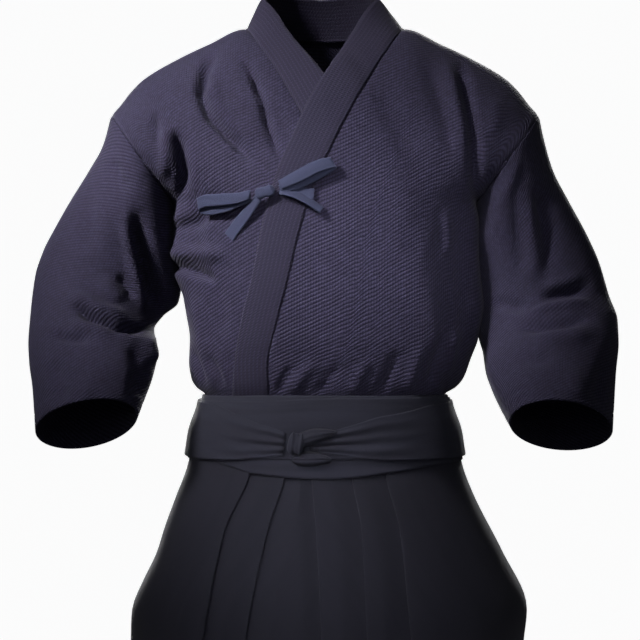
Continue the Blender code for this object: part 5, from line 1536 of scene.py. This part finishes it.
# %% Nodes by name
class Finish:
    """A material, with short calls that add a node, join what it reads and return what it gives."""

    def __init__(self, name, roughness, sheen):
        self.material = bpy.data.materials.new(name)
        self.material.use_nodes = True
        self.tree = self.material.node_tree
        self.shader = self.tree.nodes["Principled BSDF"]
        self.shader.inputs["Roughness"].default_value = roughness
        self.shader.inputs["Sheen Weight"].default_value = sheen
        self.shader.inputs["Sheen Roughness"].default_value = 0.45
        self.shader.inputs["Specular IOR Level"].default_value = 0.25
        cloth = self.tree.nodes.new("ShaderNodeUVMap")
        cloth.uv_map = "cloth"
        parts = self.tree.nodes.new("ShaderNodeSeparateXYZ")
        self.tree.links.new(cloth.outputs["UV"], parts.inputs[0])
        self.across, self.along = parts.outputs["X"], parts.outputs["Y"]
        self.uv = cloth.outputs["UV"]

    def give(self, socket, value):
        """Joins a node's output to the socket, or sets the socket to a number."""
        if isinstance(value, bpy.types.NodeSocket):
            self.tree.links.new(value, socket)
        else:
            socket.default_value = value

    def math(self, operation, *values):
        """A Math node of that operation on sockets or numbers."""
        node = self.tree.nodes.new("ShaderNodeMath")
        node.operation = operation
        for socket, value in zip(node.inputs, values):
            self.give(socket, value)
        return node.outputs[0]

    def between(self, value, low, high, start=0.0, end=1.0):
        """A smooth step from start to end as the value goes from low to high."""
        node = self.tree.nodes.new("ShaderNodeMapRange")
        node.interpolation_type = "SMOOTHSTEP"
        settings = {"Value": value, "From Min": low, "From Max": high, "To Min": start, "To Max": end}
        for name, given in settings.items():
            self.give(node.inputs[name], given)
        return node.outputs["Result"]

    def noise(self, scale, detail=2.0, stretch=(1.0, 1.0, 1.0), coordinates="object"):
        """Noise in metres on the object or on the cloth, drawn out along an axis by stretch."""
        node = self.tree.nodes.new("ShaderNodeTexNoise")
        mapping = self.tree.nodes.new("ShaderNodeMapping")
        mapping.inputs["Scale"].default_value = stretch
        if coordinates == "object":
            place = self.tree.nodes.new("ShaderNodeTexCoord")
            self.tree.links.new(place.outputs["Object"], mapping.inputs["Vector"])
        else:
            self.tree.links.new(self.uv, mapping.inputs["Vector"])
        self.tree.links.new(mapping.outputs["Vector"], node.inputs["Vector"])
        node.inputs["Scale"].default_value = scale
        node.inputs["Detail"].default_value = detail
        return node.outputs["Fac"]

    def mix(self, factor, first, second):
        """A colour between two colours, each a socket or three numbers."""
        node = self.tree.nodes.new("ShaderNodeMix")
        node.data_type = "RGBA"
        self.give(node.inputs[0], factor)
        for socket, value in ((node.inputs[6], first), (node.inputs[7], second)):
            self.give(socket, value if isinstance(value, bpy.types.NodeSocket) else (*value, 1.0))
        return node.outputs[2]

    def colour(self, value):
        """Sets the cloth's colour, or joins what gives it."""
        self.give(self.shader.inputs["Base Color"], value)

    def bump(self, *reliefs):
        """Bumps from several heights, each with its size in metres, laid one over the other."""
        normal = None
        for height, size in reliefs:
            node = self.tree.nodes.new("ShaderNodeBump")
            node.inputs["Strength"].default_value = 1.0
            node.inputs["Distance"].default_value = size
            self.give(node.inputs["Height"], height)
            if normal:
                self.give(node.inputs["Normal"], normal)
            normal = node.outputs["Normal"]
        self.give(self.shader.inputs["Normal"], normal)


print("steps of a finish:", [name for name in vars(Finish) if not name.startswith("_")])

# %% [markdown]
# The jacket's cloth is a rice-grain weave: short thick weft floats stand in columns, and each
# column is set a little higher than the one before, so the grains line up in slanting rows. The
# weave is worked out from the UV map in metres: the nearest grain's place gives the distance to
# its middle, and the distance gives both height and shade.

# %% Jacket cotton
GRAIN_WIDTH = 0.0034
GRAIN_LENGTH = 0.0050
GRAIN_STEP = -0.38
GRAINS_JOINED = 0.38
GAP_SHADE = (0.026, 0.022, 0.048)
GRAIN_SHADE = (0.058, 0.052, 0.106)
WORN_SHADE = (0.068, 0.059, 0.114)
DIM_FLECK = (0.66, 0.66, 0.68)
BRIGHT_FLECK = (1.34, 1.34, 1.32)


def grain(finish, width, length, step, joined):
    """1 in the middle of the nearest grain of the weave and 0 between grains. Each column stands
    a step higher than the last, so the grains make slanting rows; joined is how much they merge
    along them, from 0 to 1."""
    column = finish.math("DIVIDE", finish.across, width)
    aside = finish.math("SUBTRACT", column, finish.math("ROUND", column))
    row = finish.math("DIVIDE", finish.along, length)
    row = finish.math("ADD", row, finish.math("MULTIPLY", column, step))
    away = finish.math("SUBTRACT", row, finish.math("ROUND", row))
    near = finish.math("MULTIPLY", aside, 1 - joined)
    squares = finish.math("ADD", finish.math("POWER", near, 2.0), finish.math("POWER", away, 2.0))
    return finish.between(finish.math("SQRT", squares), 0.12, 0.50, 1.0, 0.0)


def jacket_cotton():
    """Indigo cotton in a rice-grain weave, lighter on the grains and worn pale in broad patches."""
    finish = Finish("jacket_cotton", 0.85, 0.05)
    raised = grain(finish, GRAIN_WIDTH, GRAIN_LENGTH, GRAIN_STEP, GRAINS_JOINED)
    thread = finish.noise(900.0, 2.0)
    uneven = finish.noise(190.0, 3.0)
    patch = finish.noise(7.0, 3.0)
    shade = finish.mix(raised, GAP_SHADE, GRAIN_SHADE)
    loose = finish.math("MULTIPLY", finish.between(thread, 0.3, 0.7), finish.between(uneven, 0.25, 0.75))
    fleck = finish.mix(loose, DIM_FLECK, BRIGHT_FLECK)
    node = finish.tree.nodes.new("ShaderNodeMix")
    node.data_type = "RGBA"
    node.blend_type = "MULTIPLY"
    node.inputs[0].default_value = 1.0
    finish.give(node.inputs[6], shade)
    finish.give(node.inputs[7], fleck)
    worn = finish.mix(finish.between(patch, 0.35, 0.75, 0.0, 0.22), node.outputs[2], WORN_SHADE)
    finish.colour(worn)
    finish.bump((raised, 0.0007), (uneven, 0.0004), (thread, 0.0004))
    return finish.material


print("jacket finishes use grains of", GRAIN_WIDTH * 1000, "by", GRAIN_LENGTH * 1000, "mm")

# %% [markdown]
# The collar band is folded cotton held by close rows of stitches along it. The rows are shallow
# grooves at an even pitch across the band, read from its own UV map, and the fine weave between
# them uses the same grain as the jacket at a smaller size.

# %% Collar cotton
STITCH_PITCH = 0.0052
FINE_GRAIN = (0.0026, 0.0040, 0.5, 0.2)
GROOVE_SHADE = (0.029, 0.025, 0.050)
BAND_SHADES = ((0.030, 0.026, 0.052), (0.046, 0.041, 0.080))


def collar_cotton():
    """Folded cotton quilted along the band: close stitched grooves over a fine slanting weave."""
    finish = Finish("collar_cotton", 0.85, 0.05)
    line = finish.math("DIVIDE", finish.across, STITCH_PITCH)
    off_line = finish.math("ABSOLUTE", finish.math("SUBTRACT", line, finish.math("ROUND", line)))
    stitched = finish.between(off_line, 0.06, 0.22)
    dash = grain(finish, *FINE_GRAIN)
    thread = finish.noise(900.0, 2.0)
    base = finish.mix(dash, *BAND_SHADES)
    lined = finish.mix(stitched, GROOVE_SHADE, base)
    finish.colour(lined)
    finish.bump((stitched, 0.0003), (dash, 0.0005), (thread, 0.0004))
    return finish.material


print("rows of stitches are", STITCH_PITCH * 1000, "mm apart")

# %% [markdown]
# The trousers and their straps are plain, closely woven cotton: smooth, darker and bluer, with
# faint streaks along the cloth where it has been folded and worn. The tapes are the same cloth
# in a lighter blue. One function makes all three, so that they stay alike apart from shade.

# %% Plain cottons
THREAD_PITCH = 0.0011
STREAKS = (60.0, 5.0, 1.0)


def plain_cotton(name, dark, light, streak, roughness, sheen):
    """Plain cotton: fine threads both ways, and soft streaks that run along the cloth."""
    finish = Finish(name, roughness, sheen)
    warp = finish.math("SINE", finish.math("MULTIPLY", finish.across, 2 * math.pi / THREAD_PITCH))
    weft = finish.math("SINE", finish.math("MULTIPLY", finish.along, 2 * math.pi / THREAD_PITCH))
    threads = finish.math("MULTIPLY", warp, weft)
    soft = finish.noise(1.0, 3.0, STREAKS, "cloth")
    speck = finish.noise(700.0, 2.0)
    shade = finish.mix(finish.between(soft, 0.3, 0.7), dark, light)
    finish.colour(finish.mix(finish.between(speck, 0.35, 0.75, 0.0, 0.35), shade, light))
    finish.bump((threads, 0.00012), (soft, streak), (speck, 0.00012))
    return finish.material


# Name, darker and lighter shade, height of the streaks, roughness and sheen
PLAIN_COTTONS = {
    "tie_tape": ("tie_cotton", (0.044, 0.050, 0.100), (0.060, 0.068, 0.132), 0.0002, 0.72, 0.04),
    "trouser_cloth": ("trouser_cotton", (0.0195, 0.0195, 0.0305), (0.022, 0.022, 0.0345), 0.0, 0.80, 0.04),
    "strap_cloth": ("strap_cotton", (0.021, 0.021, 0.034), (0.030, 0.031, 0.049), 0.0004, 0.78, 0.04),
}
FINISHES = {"jacket_cloth": jacket_cotton(), "collar_cloth": collar_cotton()}
FINISHES.update({slot: plain_cotton(*choices) for slot, choices in PLAIN_COTTONS.items()})
for piece in PIECES.values():
    piece.data.materials.append(FINISHES[piece["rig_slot"]])
print("finishes:", ", ".join(FINISHES))

# %% [markdown]
# A body half has its neck and armhole cut away, and the straps and the collar are folded bands.
# Straps and the collar are folded bands, so their flat size is that of the folded band as it
# shows.

# %% [markdown]
# The stage is a pale floor that turns up far away into a wall all round, like a shallow dish, so
# that no view has an edge behind the garment. The light follows the photograph: one soft lamp
# high on the left, a narrow one on the chest, little on the sleeves, and a dim sky. Other lamps
# show the back and the hem. The dish glows by itself and gives no light back, so that the
# shaded side stays as dark as in a dim studio.

# %% Floor
FLOOR_Z = -1.45
FLOOR_FLAT = 9.0
FLOOR_RADIUS = 16.0
FLOOR_RINGS = 60
FLOOR_TURNS = 96
FLOOR_RISE = 0.20


def floor_points():
    """A surface of revolution: flat to a radius, then rising as the square of what lies beyond."""
    radius = np.linspace(0.0, FLOOR_RADIUS, FLOOR_RINGS)[:, None]
    turn = np.linspace(0.0, 2 * math.pi, FLOOR_TURNS, endpoint=False)[None, :]
    rise = FLOOR_RISE * np.maximum(radius - FLOOR_FLAT, 0) ** 2
    return np.stack([radius * np.cos(turn), radius * np.sin(turn), FLOOR_Z + rise + 0 * turn], axis=2)


points = floor_points()
plain_uv = np.zeros((FLOOR_RINGS, FLOOR_TURNS + 1, 2))
floor = bpy.data.objects.new("floor", grid_mesh("floor", points, plain_uv, closed=True))
bpy.context.scene.collection.objects.link(floor)
floor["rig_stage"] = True
floor_paint = bpy.data.materials.new("floor_paint")
floor_paint.use_nodes = True
paint = floor_paint.node_tree.nodes["Principled BSDF"].inputs
paint["Base Color"].default_value = (0.80, 0.80, 0.81, 1.0)
paint["Roughness"].default_value = 0.9
paint["Specular IOR Level"].default_value = 0.0
paint["Emission Color"].default_value = (1.0, 1.0, 1.0, 1.0)
paint["Emission Strength"].default_value = 0.93
floor.data.materials.append(floor_paint)
floor.visible_diffuse = False
floor.visible_glossy = False
print("floor at", FLOOR_Z)

# %% [markdown]
# Dark cotton shows its weave and creases where light grazes it, so the key lamp is small and
# set high on one side. A lamp's spread, the cone of its light in degrees, keeps it to its own
# part of the garment. Only the fill in front is wide, and it is weak.

# %% Lights
def area_light(name, place, aim, size, spread, watts, colour):
    """A square lamp at a place, turned to what it aims at. Its light fans out by the spread's angle
    in degrees, as behind a grid, so that it may light the chest and leave the sleeves dim."""
    data = bpy.data.lights.new(name, "AREA")
    data.size = size
    data.spread = math.radians(spread)
    data.energy = watts
    data.color = colour
    lamp = bpy.data.objects.new(name, data)
    lamp.location = place
    lamp.visible_camera = False
    lamp.rotation_euler = (Vector(aim) - Vector(place)).to_track_quat("-Z", "Y").to_euler()
    bpy.context.scene.collection.objects.link(lamp)
    return lamp


area_light("key", (-1.60, -1.30, 1.05), (-0.08, 0.0, -0.24), 0.5, 17, 1.65, (1.0, 0.98, 0.98))
area_light("chest", (0.35, -3.00, 0.20), (0.06, 0.0, -0.30), 0.15, 9, 0.13, (0.97, 0.97, 1.0))
area_light("skirt", (-0.60, -3.00, 0.00), (-0.01, 0.0, -0.68), 0.2, 8, 0.13, (0.97, 0.97, 1.0))
area_light("fill", (-0.70, -3.30, 0.50), (0.0, 0.0, -0.35), 1.2, 180, 2.0, (0.95, 0.96, 1.0))
area_light("hem", (0.30, -3.00, -0.90), (0.0, 0.0, -1.16), 0.3, 16, 0.42, (0.97, 0.97, 1.0))
area_light("hem_right", (-3.20, 0.90, -0.60), (0.0, 0.0, -1.25), 0.4, 14, 0.60, (1.0, 1.0, 1.0))
area_light("hem_left", (3.20, 0.90, -0.60), (0.0, 0.0, -1.25), 0.4, 14, 0.60, (1.0, 1.0, 1.0))
area_light("back", (0.8, 3.4, 1.0), (0.0, 0.0, -0.30), 1.2, 60, 22.0, (1.0, 1.0, 1.0))
area_light("back_low", (-0.8, 3.4, 0.2), (0.0, 0.0, -1.00), 1.2, 40, 14.0, (1.0, 1.0, 1.0))

world = bpy.data.worlds.new("studio")
world.use_nodes = True
world.node_tree.nodes["Background"].inputs["Color"].default_value = (0.95, 0.97, 1.0, 1.0)
world.node_tree.nodes["Background"].inputs["Strength"].default_value = 0.05
bpy.context.scene.world = world
bpy.context.scene.view_settings.view_transform = "Standard"

# %% [markdown]
# The last cell prints the solids' box and the dressed garment's box side by side.

# %% Sizes
VISUAL_BOX = [list(corner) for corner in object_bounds()]
for axis, low, high, low_new, high_new in zip("xyz", *CAD_BOX, *VISUAL_BOX):
    print(axis, "solids", round(low, 4), round(high, 4), "dressed", round(low_new, 4), round(high_new, 4))
